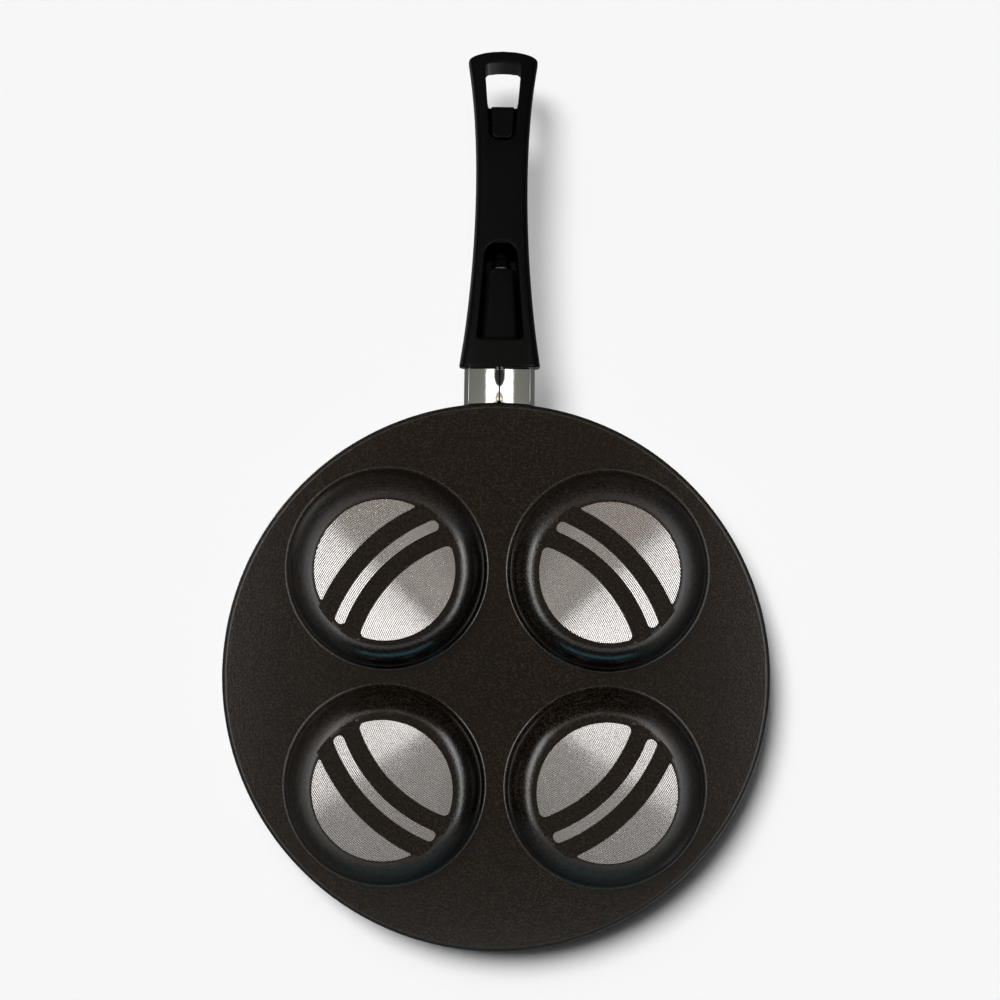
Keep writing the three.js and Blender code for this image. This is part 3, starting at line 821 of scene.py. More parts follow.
def build_pan_body():
    """The pressed body with four wells, turned faces and a rounded rim."""
    sizes = bpy.context.scene.pan_sizes
    skin = Skin()
    across = sizes.pitch_across / 2
    along = sizes.pitch_along / 2
    centres = [(side_x * across, side_y * along) for side_x in (-1, 1) for side_y in (-1, 1)]
    for centre in centres:
        add_well(skin, sizes, centre)
    profile = rim_profile(sizes)
    inner_part = len(profile) - (CORNER_STEPS + 1)
    skin.revolve(profile[: inner_part + 1], 2 * sizes.steps)
    skin.revolve(profile[inner_part:], 2 * sizes.steps, slot=2)
    add_plate(skin, sizes, centres, *profile[0], 0)
    add_plate(skin, sizes, centres, *profile[-1], 2)
    body = skin.build("pan_shell", weld=2e-7, sharp=24)
    body.location = (pan_centre.x, pan_centre.y, pan_low.z)
    weigh_normals(body)
    finishes = bpy.context.scene.pan_finishes
    for material in (
        coating_material("sprayed_coating", finishes.coating, 0.9 * MM, 0.2, 0.6, roughness_outward=0.48),
        turned_material(sizes, finishes.aluminium),
        coating_material("cooking_surface", finishes.coating_inside, 0.4 * MM, 0.36, 0.5),
    ):
        body.data.materials.append(material)
    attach(body, BODY)
    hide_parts("pan_body")


# Handle


def handle_place():
    """The handle's frame: its origin on the rim wall, Y along the handle."""
    pan = bpy.context.scene.pan_sizes
    sizes = bpy.context.scene.pan_handle
    root = rim_offset(pan, pan.sheet / 2, sizes.root_height)
    place = Matrix.Translation((pan_centre.x, pan_centre.y + root, pan_low.z + sizes.root_height))
    return place @ Matrix.Rotation(sizes.rise, 4, "X")


def handle_half_width(sizes, s):
    """Half the width at a place along the handle: an arc to the front and another to the tail."""
    tail = sizes.front + sizes.body_length
    waist = tail - sizes.waist_from_tail
    wide, run = (sizes.front_width, waist - sizes.front) if s < waist else (sizes.tail_width, tail - waist)
    swell = (wide - sizes.waist_width) / 2
    radius = (run**2 + swell**2) / (2 * swell)
    return sizes.waist_width / 2 + radius - math.sqrt(radius**2 - (s - waist) ** 2)


def handle_reach(sizes, s, front, waist_value, tail_value):
    """A height or depth at a place along the handle, from its values at the front, the waist and the tail."""
    tail = sizes.front + sizes.body_length
    waist = tail - sizes.waist_from_tail
    to_waist = smooth(s, sizes.front, waist)
    to_tail = smooth(s, waist, tail)
    return front + (waist_value - front) * to_waist + (tail_value - waist_value) * to_tail


def height_above(sizes, s):
    """Height of the handle over its axis at a place along it."""
    return handle_reach(sizes, s, sizes.front_above, sizes.waist_above, sizes.tail_above)


def depth_below(sizes, s):
    """Depth of the handle under its axis at a place along it."""
    return handle_reach(sizes, s, sizes.front_below, sizes.waist_below, sizes.tail_below)


def handle_ring(sizes, s, inset):
    """One ring of the handle's outer form."""
    tail = sizes.front + sizes.body_length
    wide = handle_half_width(sizes, s) - inset
    above = height_above(sizes, s) - inset
    below = depth_below(sizes, s) - inset
    bow = smooth(s, tail - sizes.tail_width, tail)
    lean = math.tan(sizes.rise) * (1 - smooth(s, sizes.front, sizes.front + UPRIGHT_LENGTH))
    ring = []
    for i in range(HANDLE_POINTS):
        turn = 2 * math.pi * i / HANDLE_POINTS
        c, d = math.cos(turn), math.sin(turn)
        power = 2 / (CROWN_EXPONENT if d > 0 else BELLY_EXPONENT)
        x = math.copysign(abs(c) ** power, c) * wide
        z = math.copysign(abs(d) ** power, d) * (above if d > 0 else below)
        back = sizes.tail_arc - math.sqrt(sizes.tail_arc**2 - x**2)
        ring.append((x, s - back * bow + (z + sizes.front_below) * lean, z))
    return ring


def loft(rings):
    """A closed mesh over rings of equal length."""
    work = bmesh.new()
    rows = [[work.verts.new(p) for p in ring] for ring in rings]
    count = len(rows[0])
    for a, b in zip(rows, rows[1:]):
        for i in range(count):
            j = (i + 1) % count
            work.faces.new((a[i], a[j], b[j], b[i]))
    work.faces.new(rows[0][::-1])
    work.faces.new(rows[-1])
    bmesh.ops.recalc_face_normals(work, faces=work.faces)
    return work


def rounded(corners, steps):
    """Points of a closed outline with an arc at each corner, from (x, y, radius), anticlockwise."""
    points = []
    for i, (x, y, radius) in enumerate(corners):
        here = Vector((x, y))
        back = (Vector(corners[i - 1][:2]) - here).normalized()
        on = (Vector(corners[(i + 1) % len(corners)][:2]) - here).normalized()
        half = math.acos(min(max(back.dot(on), -1), 1)) / 2
        centre = here + (back + on).normalized() * (radius / math.sin(half))
        start = here + back * (radius / math.tan(half)) - centre
        end = here + on * (radius / math.tan(half)) - centre
        a = math.atan2(start.y, start.x)
        b = math.atan2(end.y, end.x)
        if b < a:
            b += 2 * math.pi
        points.extend(arc(centre.x, centre.y, radius, a, b, steps))
    return points


def prism(points, low, high, turn):
    """A closed prism: turn maps (a, b, height) to the handle's frame."""
    work = bmesh.new()
    rows = [[work.verts.new(turn(x, y, h)) for x, y in points] for h in (low, high)]
    count = len(points)
    for i in range(count):
        j = (i + 1) % count
        work.faces.new((rows[0][i], rows[0][j], rows[1][j], rows[1][i]))
    work.faces.new(rows[0][::-1])
    work.faces.new(rows[1])
    bmesh.ops.recalc_face_normals(work, faces=work.faces)
    return work


def bar(radius, start, end, count=48):
    """A closed round bar along the handle's axis."""
    return loft([[(x, s, z) for x, z in circle(0, 0, radius, count)] for s in (start, end)])


def block(size, place):
    """A box of a given size, set in place by a matrix."""
    work = bmesh.new()
    bmesh.ops.create_cube(work, size=1)
    bmesh.ops.scale(work, vec=size, verts=work.verts)
    bmesh.ops.transform(work, matrix=place, verts=work.verts)
    return work


def squarish_ring(exponent, count):
    """Points of a unit ring between a circle (2) and a square (large exponents)."""
    ring = []
    for i in range(count):
        c = math.cos(2 * math.pi * i / count)
        d = math.sin(2 * math.pi * i / count)
        ring.append((math.copysign(abs(c) ** (2 / exponent), c), math.copysign(abs(d) ** (2 / exponent), d)))
    return ring


def combine(base, other, operation="DIFFERENCE"):
    """Cuts one object by another, or joins or intersects them, and removes the other."""
    modifier = base.modifiers.new("Cut", "BOOLEAN")
    modifier.operation = operation
    modifier.solver = "EXACT"
    modifier.object = other
    apply_modifiers(base)
    bpy.data.objects.remove(other)


def apply_modifiers(made):
    """Bakes an object's modifiers into its mesh."""
    graph = bpy.context.evaluated_depsgraph_get()
    mesh = bpy.data.meshes.new_from_object(made.evaluated_get(graph))
    made.modifiers.clear()
    old = made.data
    made.data = mesh
    mesh.name = old.name
    bpy.data.meshes.remove(old)


def in_plan(x, y, h):
    """Stands a prism upright."""
    return (x, y, h)


def in_side(x, y, h):
    """Lays a prism across the handle."""
    return (h, x, y)


def in_section(x, y, h):
    """Lays a prism along the handle."""
    return (x, h, y)


def ferrule_outline(ferrule, grow, step=0.25 * MM):
    """The ferrule's section from the middle of its underside round to it again, grown or shrunk."""
    belt = ferrule.width / 2 + grow
    crease = ferrule.crease / 2 + grow
    below = ferrule.below + grow
    above = ferrule.above + grow
    bow = (crease**2 + ferrule.bow**2) / (2 * ferrule.bow)
    spread = math.asin(crease / bow)
    half = arc(0, bow - below, bow, -QUARTER, -QUARTER + spread, 40)
    low_x, low_y = half[-1]
    for t in np.linspace(0, 1, 20)[1:]:
        half.append((low_x + (belt - low_x) * t, low_y - low_y * t))
    for t in np.linspace(0, QUARTER, 60)[1:]:
        half.append((belt * math.cos(t), above * math.sin(t)))
    whole = half + [(-x, y) for x, y in half[-2:0:-1]]
    return resample(whole, step)


def resample(points, step):
    """A closed outline with points at an even step, from its first point."""
    ring = np.array(points + points[:1])
    lengths = np.concatenate([[0], np.cumsum(np.hypot(*np.diff(ring, axis=0).T))])
    count = max(int(round(lengths[-1] / step)), 16)
    places = np.linspace(0, lengths[-1], count + 1)[:-1]
    return [tuple(p) for p in np.column_stack([np.interp(places, lengths, ring[:, k]) for k in (0, 1)])]


def handle_blank(sizes):
    """The handle's outer form, closed, with both its ends rounded."""
    tail = sizes.front + sizes.body_length
    rings = []
    for turn in np.linspace(0, QUARTER, 7):
        inset = sizes.front_rounding * (1 - math.sin(turn))
        s = sizes.front + sizes.front_rounding * (1 - math.cos(turn))
        rings.append(handle_ring(sizes, s, inset))
    for s in np.linspace(sizes.front + sizes.front_rounding, tail - sizes.tail_rounding, 60)[1:-1]:
        rings.append(handle_ring(sizes, s, 0))
    for turn in np.linspace(0, QUARTER, 9):
        inset = sizes.tail_rounding * (1 - math.cos(turn))
        s = tail - sizes.tail_rounding * (1 - math.sin(turn))
        rings.append(handle_ring(sizes, s, inset))
    return mesh_object("handle_grip", loft(rings))


def cut_socket(handle, sizes):
    """The ferrule's socket round the handle's spigot, and the stud's bore in it."""
    ferrule = bpy.context.scene.pan_ferrule
    fastening = bpy.context.scene.pan_fastening
    floor = sizes.front + ferrule.socket + GAP
    wide = ferrule_outline(ferrule, GAP, 0.5 * MM)
    combine(handle, mesh_object("socket", prism(wide, sizes.front - 3 * MM, floor, in_section)))
    tight = ferrule_outline(ferrule, -ferrule.sheet - GAP, 0.5 * MM)
    spigot = prism(tight, sizes.spigot_from, floor + OVERRUN, in_section)
    combine(handle, mesh_object("spigot", spigot), "UNION")
    stud_room = bar(fastening.stud_radius + GAP, 4 * MM, fastening.stud_length + GAP)
    combine(handle, mesh_object("stud_bore", stud_room))


def boss_end(sizes, pockets):
    """The station of the screw's seat, at the end of the boss in the pocket."""
    return sizes.front + pockets.from_front + pockets.boss_length


def cut_pocket(handle, sizes, pockets):
    """The screw pocket with the boss left in it, the step round its mouth and the screw's bore."""
    front = sizes.front + pockets.from_front
    back = front + pockets.pocket_length
    seat_at = boss_end(sizes, pockets)

    def plan(grow):
        """The pocket's outline: wide and square to the front, narrow and round to the tail."""
        wide = pockets.front_width / 2 + grow
        narrow = pockets.back_width / 2 + grow
        corners = [
            (-wide, front - grow, pockets.front_corner + grow),
            (wide, front - grow, pockets.front_corner + grow),
            (narrow, back + grow, narrow - GAP),
            (-narrow, back + grow, narrow - GAP),
        ]
        return rounded(corners, 12)

    ceiling = [
        (front - OVERRUN, BELOW_ALL),
        (back + 1.2 * MM, BELOW_ALL),
        (seat_at + 7.6 * MM, 6.6 * MM),
        (seat_at, 7 * MM),
        (front - OVERRUN, -1 * MM),
    ]
    room = mesh_object("pocket", prism(plan(0), BELOW_ALL, 8 * MM, in_plan))
    combine(room, mesh_object("ceiling", prism(ceiling, -HALF_BREADTH, HALF_BREADTH, in_side)), "INTERSECT")
    boss = []
    for width, depth, s in (
        (pockets.boss_front_width, pockets.boss_front_depth, front - 1 * MM),
        (pockets.boss_back_width, pockets.boss_back_depth, seat_at),
    ):
        boss.append([(x * width / 2, s, z * depth) for x, z in squarish_ring(4, 72)])
    combine(room, mesh_object("boss", loft(boss)))
    combine(handle, room)

    start, end = front - 3 * MM, back + 3 * MM
    lip = [(start, BELOW_ALL), (end, BELOW_ALL)]
    for s in np.linspace(end, start, 12):
        lip.append((s, pockets.lip_depth - depth_below(sizes, s)))
    step = mesh_object("lip", prism(plan(pockets.lip_width), BELOW_ALL, 0, in_plan))
    combine(step, mesh_object("lip_side", prism(lip, -HALF_BREADTH, HALF_BREADTH, in_side)), "INTERSECT")
    combine(handle, step)
    clear = bpy.context.scene.pan_fastening.screw_radius + GAP
    combine(handle, mesh_object("screw_bore", bar(clear, 6 * MM, seat_at + 1 * MM)))


def cut_hook_recess(handle, sizes, pockets, hole_near):
    """The driver's bore, and over it the hook recess: a channel with two deep slots round a raised island."""
    driver = bar(pockets.driver_radius, boss_end(sizes, pockets) + 3.1 * MM, hole_near + OVERRUN)
    combine(handle, mesh_object("driver_bore", driver))
    front = hole_near - pockets.recess_length
    underside = -sizes.tail_below
    near_half = pockets.recess_near_width / 2
    far_half = pockets.recess_far_width / 2

    def plan(shrink):
        """The recess's outline: round to the front and open to the hole."""
        corner = pockets.recess_corner - shrink
        corners = [
            (-near_half + shrink, front + shrink, corner),
            (near_half - shrink, front + shrink, corner),
            (far_half - shrink, hole_near + OVERRUN, 0.3 * MM),
            (-far_half + shrink, hole_near + OVERRUN, 0.3 * MM),
        ]
        return rounded(corners, 10)

    channel = mesh_object("channel", prism(plan(0), BELOW_ALL, underside + pockets.channel_depth, in_plan))
    island = prism(plan(pockets.channel_width), underside + pockets.island_depth, 0, in_plan)
    combine(channel, mesh_object("island", island))
    combine(handle, channel)
    near, far = front + 4 * MM, hole_near - 1.2 * MM
    near_out, far_out = near_half - 0.1 * MM, far_half - 0.3 * MM
    for side in (-1, 1):
        slot = [
            (side * (near_out - pockets.slot_width), near),
            (side * near_out, near),
            (side * far_out, far),
            (side * (far_out - pockets.slot_width), far),
        ]
        slot = prism(slot, underside + 1 * MM, underside + pockets.slot_depth, in_plan)
        combine(handle, mesh_object("channel_slot", slot))


def cut_hanging_hole(handle, pockets, near, far):
    """The hanging hole, wider towards the tail, where it bows out."""
    shoulder = far - pockets.hole_crown
    near_half = pockets.hole_near_width / 2
    far_half = pockets.hole_far_width / 2
    corners = [
        (-near_half, near, 1.2 * MM),
        (near_half, near, 1.2 * MM),
        (far_half, shoulder, 2.6 * MM),
        (0, far, 30 * MM),
        (-far_half, shoulder, 2.6 * MM),
    ]
    hole = prism(rounded(corners, 10), -10 * MM, 10 * MM, in_plan)
    combine(handle, mesh_object("hole", hole))


def build_handle():
    """The moulded handle with its ferrule socket, screw pocket, hook recess and hanging hole."""
    sizes = bpy.context.scene.pan_handle
    pockets = bpy.context.scene.pan_pockets
    handle = handle_blank(sizes)
    hole_far = sizes.front + sizes.body_length - pockets.hole_from_tail
    hole_near = hole_far - pockets.hole_length
    cut_socket(handle, sizes)
    cut_pocket(handle, sizes, pockets)
    cut_hook_recess(handle, sizes, pockets, hole_near)
    cut_hanging_hole(handle, pockets, hole_near, hole_far)
    remesh = handle.modifiers.new("Skin", "REMESH")
    remesh.mode = "VOXEL"
    remesh.voxel_size = sizes.voxel
    remesh.use_smooth_shade = True
    soften = handle.modifiers.new("Moulded edges", "SMOOTH")
    soften.factor = 0.5
    soften.iterations = 4
    apply_modifiers(handle)
    handle.data.materials.clear()
    handle.data.materials.append(thermoset_material(sizes, bpy.context.scene.pan_finishes.thermoset))
    handle.data.transform(handle_place())
    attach(handle, BODY)
    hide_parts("handle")


# Ferrule


def soften_outline(outline, width):
    """A closed outline with its bends rounded over a number of its points either side."""
    kernel = np.hanning(2 * width + 3)[1:-1]
    kernel /= kernel.sum()
    wrap = 2 * width + 2
    padded = np.concatenate([outline[-wrap:], outline, outline[:wrap]])
    soft = np.column_stack([np.convolve(padded[:, k], kernel, "same") for k in (0, 1)])
    return soft[wrap : wrap + len(outline)]


def bell(distance, width):
    """1 in the middle, and falling to nothing on both sides as a bell curve does."""
    return math.exp(-((distance / width) ** 2))


def build_ferrule():
    """The rolled steel sleeve with its open seam underneath."""
    pan = bpy.context.scene.pan_sizes
    handle = bpy.context.scene.pan_handle
    sizes = bpy.context.scene.pan_ferrule
    spacing = 0.12 * MM
    outline = np.array(ferrule_outline(sizes, 0, spacing))
    outline = soften_outline(outline, max(int(sizes.crease_radius / spacing), 1))
    closed = np.vstack([outline, outline[:1]])
    lengths = np.concatenate([[0], np.cumsum(np.hypot(*np.diff(closed, axis=0).T))])
    total = lengths[-1]
    end = handle.front + sizes.socket
    place = handle_place()
    centre = Vector((pan_centre.x, pan_centre.y, pan_low.z))

    def on_section(run):
        """A point of the section from its distance round it."""
        return [np.interp(run % total, lengths, closed[:, k]) for k in (0, 1)]

    def point(run, s, inward):
        """A point of the sleeve: its run round the section, its station and its depth in the sheet."""
        run %= total
        x, z = on_section(run)
        ahead_x, ahead_z = on_section(run + 0.05 * MM)
        behind_x, behind_z = on_section(run - 0.05 * MM)
        tangent_x, tangent_z = ahead_x - behind_x, ahead_z - behind_z
        size = math.hypot(tangent_x, tangent_z)
        from_seam = min(run, total - run)
        near_pan = sizes.pan_dent * bell(s, 2.2 * MM) * bell(from_seam, 1 * MM)
        before_handle = max(handle.front - 1 * MM - s, 0)
        near_handle = sizes.dent * bell(before_handle, 4.2 * MM) * bell(from_seam, 1.5 * MM)
        depth = inward + near_pan + near_handle
        return Vector((x - tangent_z / size * depth, s, z + tangent_x / size * depth))

    def saddle(run, inward):
        """The station at which the sleeve meets the rim with its clearance, found by halving."""
        low, high = -6 * MM, 8 * MM
        for _ in range(40):
            s = (low + high) / 2
            p = place @ point(run, s, inward) - centre
            if math.hypot(p.x, p.y) < rim_skin_radius(pan, p.z) + sizes.gap:
                low = s
            else:
                high = s
        return high

    columns = 220
    rows = 40
    work = bmesh.new()
    skins = []
    for depth in (0, sizes.sheet):
        skin = []
        for c in range(columns + 1):
            share_round = c / columns
            start = saddle(share_round * total, depth)
            column = []
            for r in range(rows + 1):
                s = start + (end - start) * r / rows
                corner = max(1 - (s - start) / sizes.seam_corner, 0) ** 2 * sizes.seam_corner
                trim = sizes.seam / 2 + corner
                column.append(work.verts.new(point(trim + (total - 2 * trim) * share_round, s, depth)))
            skin.append(column)
        skins.append(skin)
    for skin in skins:
        for a, b in zip(skin, skin[1:]):
            for r in range(rows):
                work.faces.new((a[r], b[r], b[r + 1], a[r + 1]))
    outer, inner = skins
    for c in range(columns):
        for r in (0, rows):
            work.faces.new((outer[c][r], inner[c][r], inner[c + 1][r], outer[c + 1][r]))
    for c in (0, columns):
        for r in range(rows):
            work.faces.new((outer[c][r], outer[c][r + 1], inner[c][r + 1], inner[c][r]))
    bmesh.ops.recalc_face_normals(work, faces=work.faces)
    sleeve = mesh_object("ferrule_sleeve", work, sharp=40)
    bevel = sleeve.modifiers.new("Sheared edges", "BEVEL")
    bevel.width = 0.12 * MM
    bevel.segments = 2
    bevel.limit_method = "ANGLE"
    bevel.angle_limit = math.radians(50)
    bevel.harden_normals = True
    finishes = bpy.context.scene.pan_finishes
    steel = metal_material("polished_steel", finishes.steel, roughness=0.03, marks=1.2 * MM)
    sleeve.data.materials.append(steel)
    sleeve.data.transform(place)
    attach(sleeve, BODY)
    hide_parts("ferrule")


# Fastening


def turned_piece(name, profile, steps=96):
    """A closed piece of revolution about the handle's axis, from (radius, station) points."""
    work = bmesh.new()
    rows = []
    for radius, s in profile:
        points = circle(0, 0, radius, steps) if radius > ON_AXIS else [(0, 0)]
        rows.append([work.verts.new((x, s, z)) for x, z in points])
    pairs = list(zip(rows, rows[1:]))
    if profile[0][0] > ON_AXIS:
        pairs.append((rows[-1], rows[0]))
    for a, b in pairs:
        for i in range(steps):
            j = (i + 1) % steps
            corners = [a[i % len(a)], a[j % len(a)], b[j % len(b)], b[i % len(b)]]
            unique = list(dict.fromkeys(corners))
            if len(unique) > 2:
                work.faces.new(unique)
    bmesh.ops.recalc_face_normals(work, faces=work.faces)
    return mesh_object(name, work, sharp=35)


def seat(made, material, node):
    """Places a fastening piece on the handle's axis, attaches it to the body and hides its imported part."""
    made.data.materials.append(material)
    made.data.transform(handle_place())
    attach(made, BODY)
    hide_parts(node)


def flat_washer(sizes, bore, start):
    """The plain washer, with its outer edges broken."""
    end = start + sizes.washer_thickness
    rim = sizes.washer_radius
    profile = [
        (bore, start),
        (rim - EDGE, start),
        (rim, start + EDGE),
        (rim, end - EDGE),
        (rim - EDGE, end),
        (bore, end),
    ]
    return turned_piece("plain_washer", profile)


def spring_washer(sizes, bore, start):
    """The split washer, with its slanting slot underneath."""
    end = start + sizes.spring_thickness
    rim = sizes.spring_radius
    washer = turned_piece("split_washer", [(bore, start), (rim, start), (rim, end), (bore, end)])
    lean = Matrix.Rotation(math.radians(18), 4, "Z")
    place = Matrix.Translation((0, (start + end) / 2, -2.7 * MM)) @ lean
    combine(washer, mesh_object("washer_slot", block((0.8 * MM, 4 * MM, 4.4 * MM), place)))
    return washer


def machine_screw(sizes, head_at):
    """The screw: its thread as rings, its rounded head and the cross recess."""
    tip = head_at - sizes.screw_length
    head_end = head_at + sizes.head_height
    shank = sizes.screw_radius
    head = sizes.head_radius
    profile = [(0, tip), (shank - 0.4 * MM, tip)]
    for s in np.arange(tip + 0.5 * MM, tip + sizes.thread_length - THREAD_PITCH, THREAD_PITCH):
        profile.extend([(shank, s), (shank - 0.38 * MM, s + THREAD_PITCH / 2)])
    profile.extend(
        [
            (shank, tip + sizes.thread_length),
            (shank, head_at),
            (head - EDGE / 2, head_at),
            (head, head_at + EDGE / 2),
            (head, head_end - 0.9 * MM),
            (head - 0.2 * MM, head_end - 0.45 * MM),
            (head - 0.75 * MM, head_end - 0.08 * MM),
            (head - 1.65 * MM, head_end),
            (0, head_end),
        ]
    )
    screw = turned_piece("machine_screw", profile)
    span, width = sizes.cross_span, sizes.cross_width
    for size in ((span, 3.6 * MM, width), (width, 3.6 * MM, span)):
        arm = block(size, Matrix.Translation((0, head_end, 0)))
        combine(screw, mesh_object("cross_recess", arm))
    return screw


def weld_stud(sizes, bore):
    """The stud on its weld flange, with a blind bore for the screw."""
    near, far, end = sizes.flange_from, sizes.flange_to, sizes.stud_length
    flange, stud = sizes.flange_radius, sizes.stud_radius
    profile = [
        (bore, end),
        (stud - EDGE, end),
        (stud, end - EDGE),
        (stud, far + 0.4 * MM),
        (stud + 0.3 * MM, far + 0.1 * MM),
        (flange - EDGE, far),
        (flange, far - EDGE),
        (flange, near + EDGE),
        (flange - EDGE, near),
        (0, near),
        (0, far),
        (bore, far),
    ]
    return turned_piece("weld_stud", profile)


def build_fastening():
    """The stud, the screw and its washers."""
    finishes = bpy.context.scene.pan_finishes
    sizes = bpy.context.scene.pan_fastening
    dark = metal_material("blackened_steel", finishes.dark_steel, roughness=0.5, marks=0.6 * MM)
    zinc = metal_material("bright_zinc", finishes.zinc, roughness=0.22, marks=0.5 * MM)
    aluminium = metal_material("stud_aluminium", finishes.aluminium, roughness=0.35, marks=0.6 * MM)
    bore = sizes.screw_radius + GAP
    washer_at = boss_end(bpy.context.scene.pan_handle, bpy.context.scene.pan_pockets) + GAP
    spring_at = washer_at + sizes.washer_thickness + GAP
    head_at = spring_at + sizes.spring_thickness + GAP
    seat(flat_washer(sizes, bore, washer_at), zinc, "flat_washer")
    seat(spring_washer(sizes, bore, spring_at), dark, "spring_washer")
    seat(machine_screw(sizes, head_at), dark, "handle_screw")
    seat(weld_stud(sizes, bore), aluminium, "handle_stud")


# Studio


def one_sided(name, colour_value, facing):
    """Plain evenly lit paper that is only there on one side, facing up (1) or down (-1)."""
    material, shader, surface = new_material(name)
    shader.feed(surface.inputs["Base Color"], colour_value)
    surface.inputs["Roughness"].default_value = 0.9
    surface.inputs["Specular IOR Level"].default_value = 0.0
    level = shader.node("ShaderNodeCombineXYZ", {"Z": facing})
    shader.feed(surface.inputs["Normal"], level.outputs[0])
    clear = shader.node("ShaderNodeBsdfTransparent")
    behind = shader.node("ShaderNodeNewGeometry").outputs["Backfacing"]
    joined = shader.node("ShaderNodeMixShader", {0: behind, 1: surface.outputs[0], 2: clear.outputs[0]})
    out = shader.tree.nodes["Material Output"]
    shader.feed(out.inputs["Surface"], joined.outputs[0])
    return material, shader, surface


def paint_paper_glow(shader, surface, colour_value, level, start, end):
    """Paints a glow into the paper by emission, more and more from one place along Y to another: painted
    light that lightens the handle's shadow, with no lamp behind the paper.
    """
    place = shader.node("ShaderNodeTexCoord").outputs["Object"]
    along = shader.node("ShaderNodeSeparateXYZ", {0: place}).outputs["Y"]
    part = shader.ramp(along, start, end, 0.0, level)
    shader.feed(surface.inputs["Base Color"], shader.mix(part, colour_value, (0, 0, 0)))
    shader.feed(surface.inputs["Emission Color"], colour_value)
    shader.feed(surface.inputs["Emission Strength"], part)


def area_light(name, place, size, radiance, tint=(1, 1, 1), target=None):
    """A soft box seen only in glossy reflections, turned to a target or to the place straight over it.

    A white sheet in its place would have the same radiance."""
    place = Vector(place)
    target = Vector(target or (place.x, place.y, 0))
    data = bpy.data.lights.new(name, "AREA")
    data.shape = "RECTANGLE"
    data.size, data.size_y = size
    data.energy = radiance * math.pi * size[0] * size[1]
    data.color = tint
    lamp = bpy.data.objects.new(name, data)
    bpy.context.scene.collection.objects.link(lamp)
    facing = (place - target).normalized()
    across = Vector((0, 1, 0)).cross(facing).normalized()
    turn = Matrix((across, facing.cross(across), facing)).transposed()
    lamp.matrix_world = Matrix.Translation(place) @ turn.to_4x4()
    lamp.visible_diffuse = False


def sun_light(name, direction, strength, spread):
    """An even key for matt surfaces that shines along its direction and casts soft shadows."""
    data = bpy.data.lights.new(name, "SUN")
    data.energy = strength
    data.angle = math.radians(spread)
    lamp = bpy.data.objects.new(name, data)
    bpy.context.scene.collection.objects.link(lamp)
    lamp.rotation_mode = "QUATERNION"
    lamp.rotation_quaternion = Vector(direction).to_track_quat("-Z", "Y")
    lamp.visible_glossy = False


def backdrop_rise(studio, past):
    """Height of the paper behind the pan at a distance past its bend's start: level, then a gentle slope."""
    bend = studio.bend_length
    past = min(max(past, 0), studio.slope_length)
    eased = past - bend / 2 if past > bend else past**2 / (2 * bend)
    return pan_low.z + studio.backdrop_height + studio.backdrop_slope * eased


def build_paper(studio):
    """The floor under the pan and the backdrop over it, each there on one side only."""
    work = bmesh.new()
    bmesh.ops.create_grid(work, x_segments=1, y_segments=1, size=PAPER_REACH)
    floor = mesh_object("floor", work)
    floor.location.z = -0.4 * MM
    floor.data.materials.append(one_sided("floor_paper", studio.floor, 1)[0])

    start = pan_centre.y + studio.bend_from
    bend = np.linspace(start, start + studio.bend_length, 21)
    work = bmesh.new()
    rows = []
    for y in (-PAPER_REACH, *bend, start + studio.slope_length, PAPER_REACH):
        z = backdrop_rise(studio, y - start)
        rows.append([work.verts.new((x, y, z)) for x in (PAPER_REACH, -PAPER_REACH)])
    for a, b in zip(rows, rows[1:]):
        work.faces.new((a[0], a[1], b[1], b[0]))
    work.normal_update()
    backdrop = mesh_object("backdrop", work)
    material, shader, surface = one_sided("backdrop_paper", studio.paper, -1)
    glow_from, glow_to = pan_centre.y + studio.glow_from, pan_centre.y + studio.glow_to
    # Painted light: the paper behind the handle glows, which lightens the handle's shadow
    paint_paper_glow(shader, surface, studio.paper, studio.painted_glow, glow_from, glow_to)
    backdrop.data.materials.append(material)
    for sheet in (floor, backdrop):
        sheet.visible_shadow = False
        sheet.visible_diffuse = False
        sheet.visible_glossy = False
        sheet.visible_transmission = False


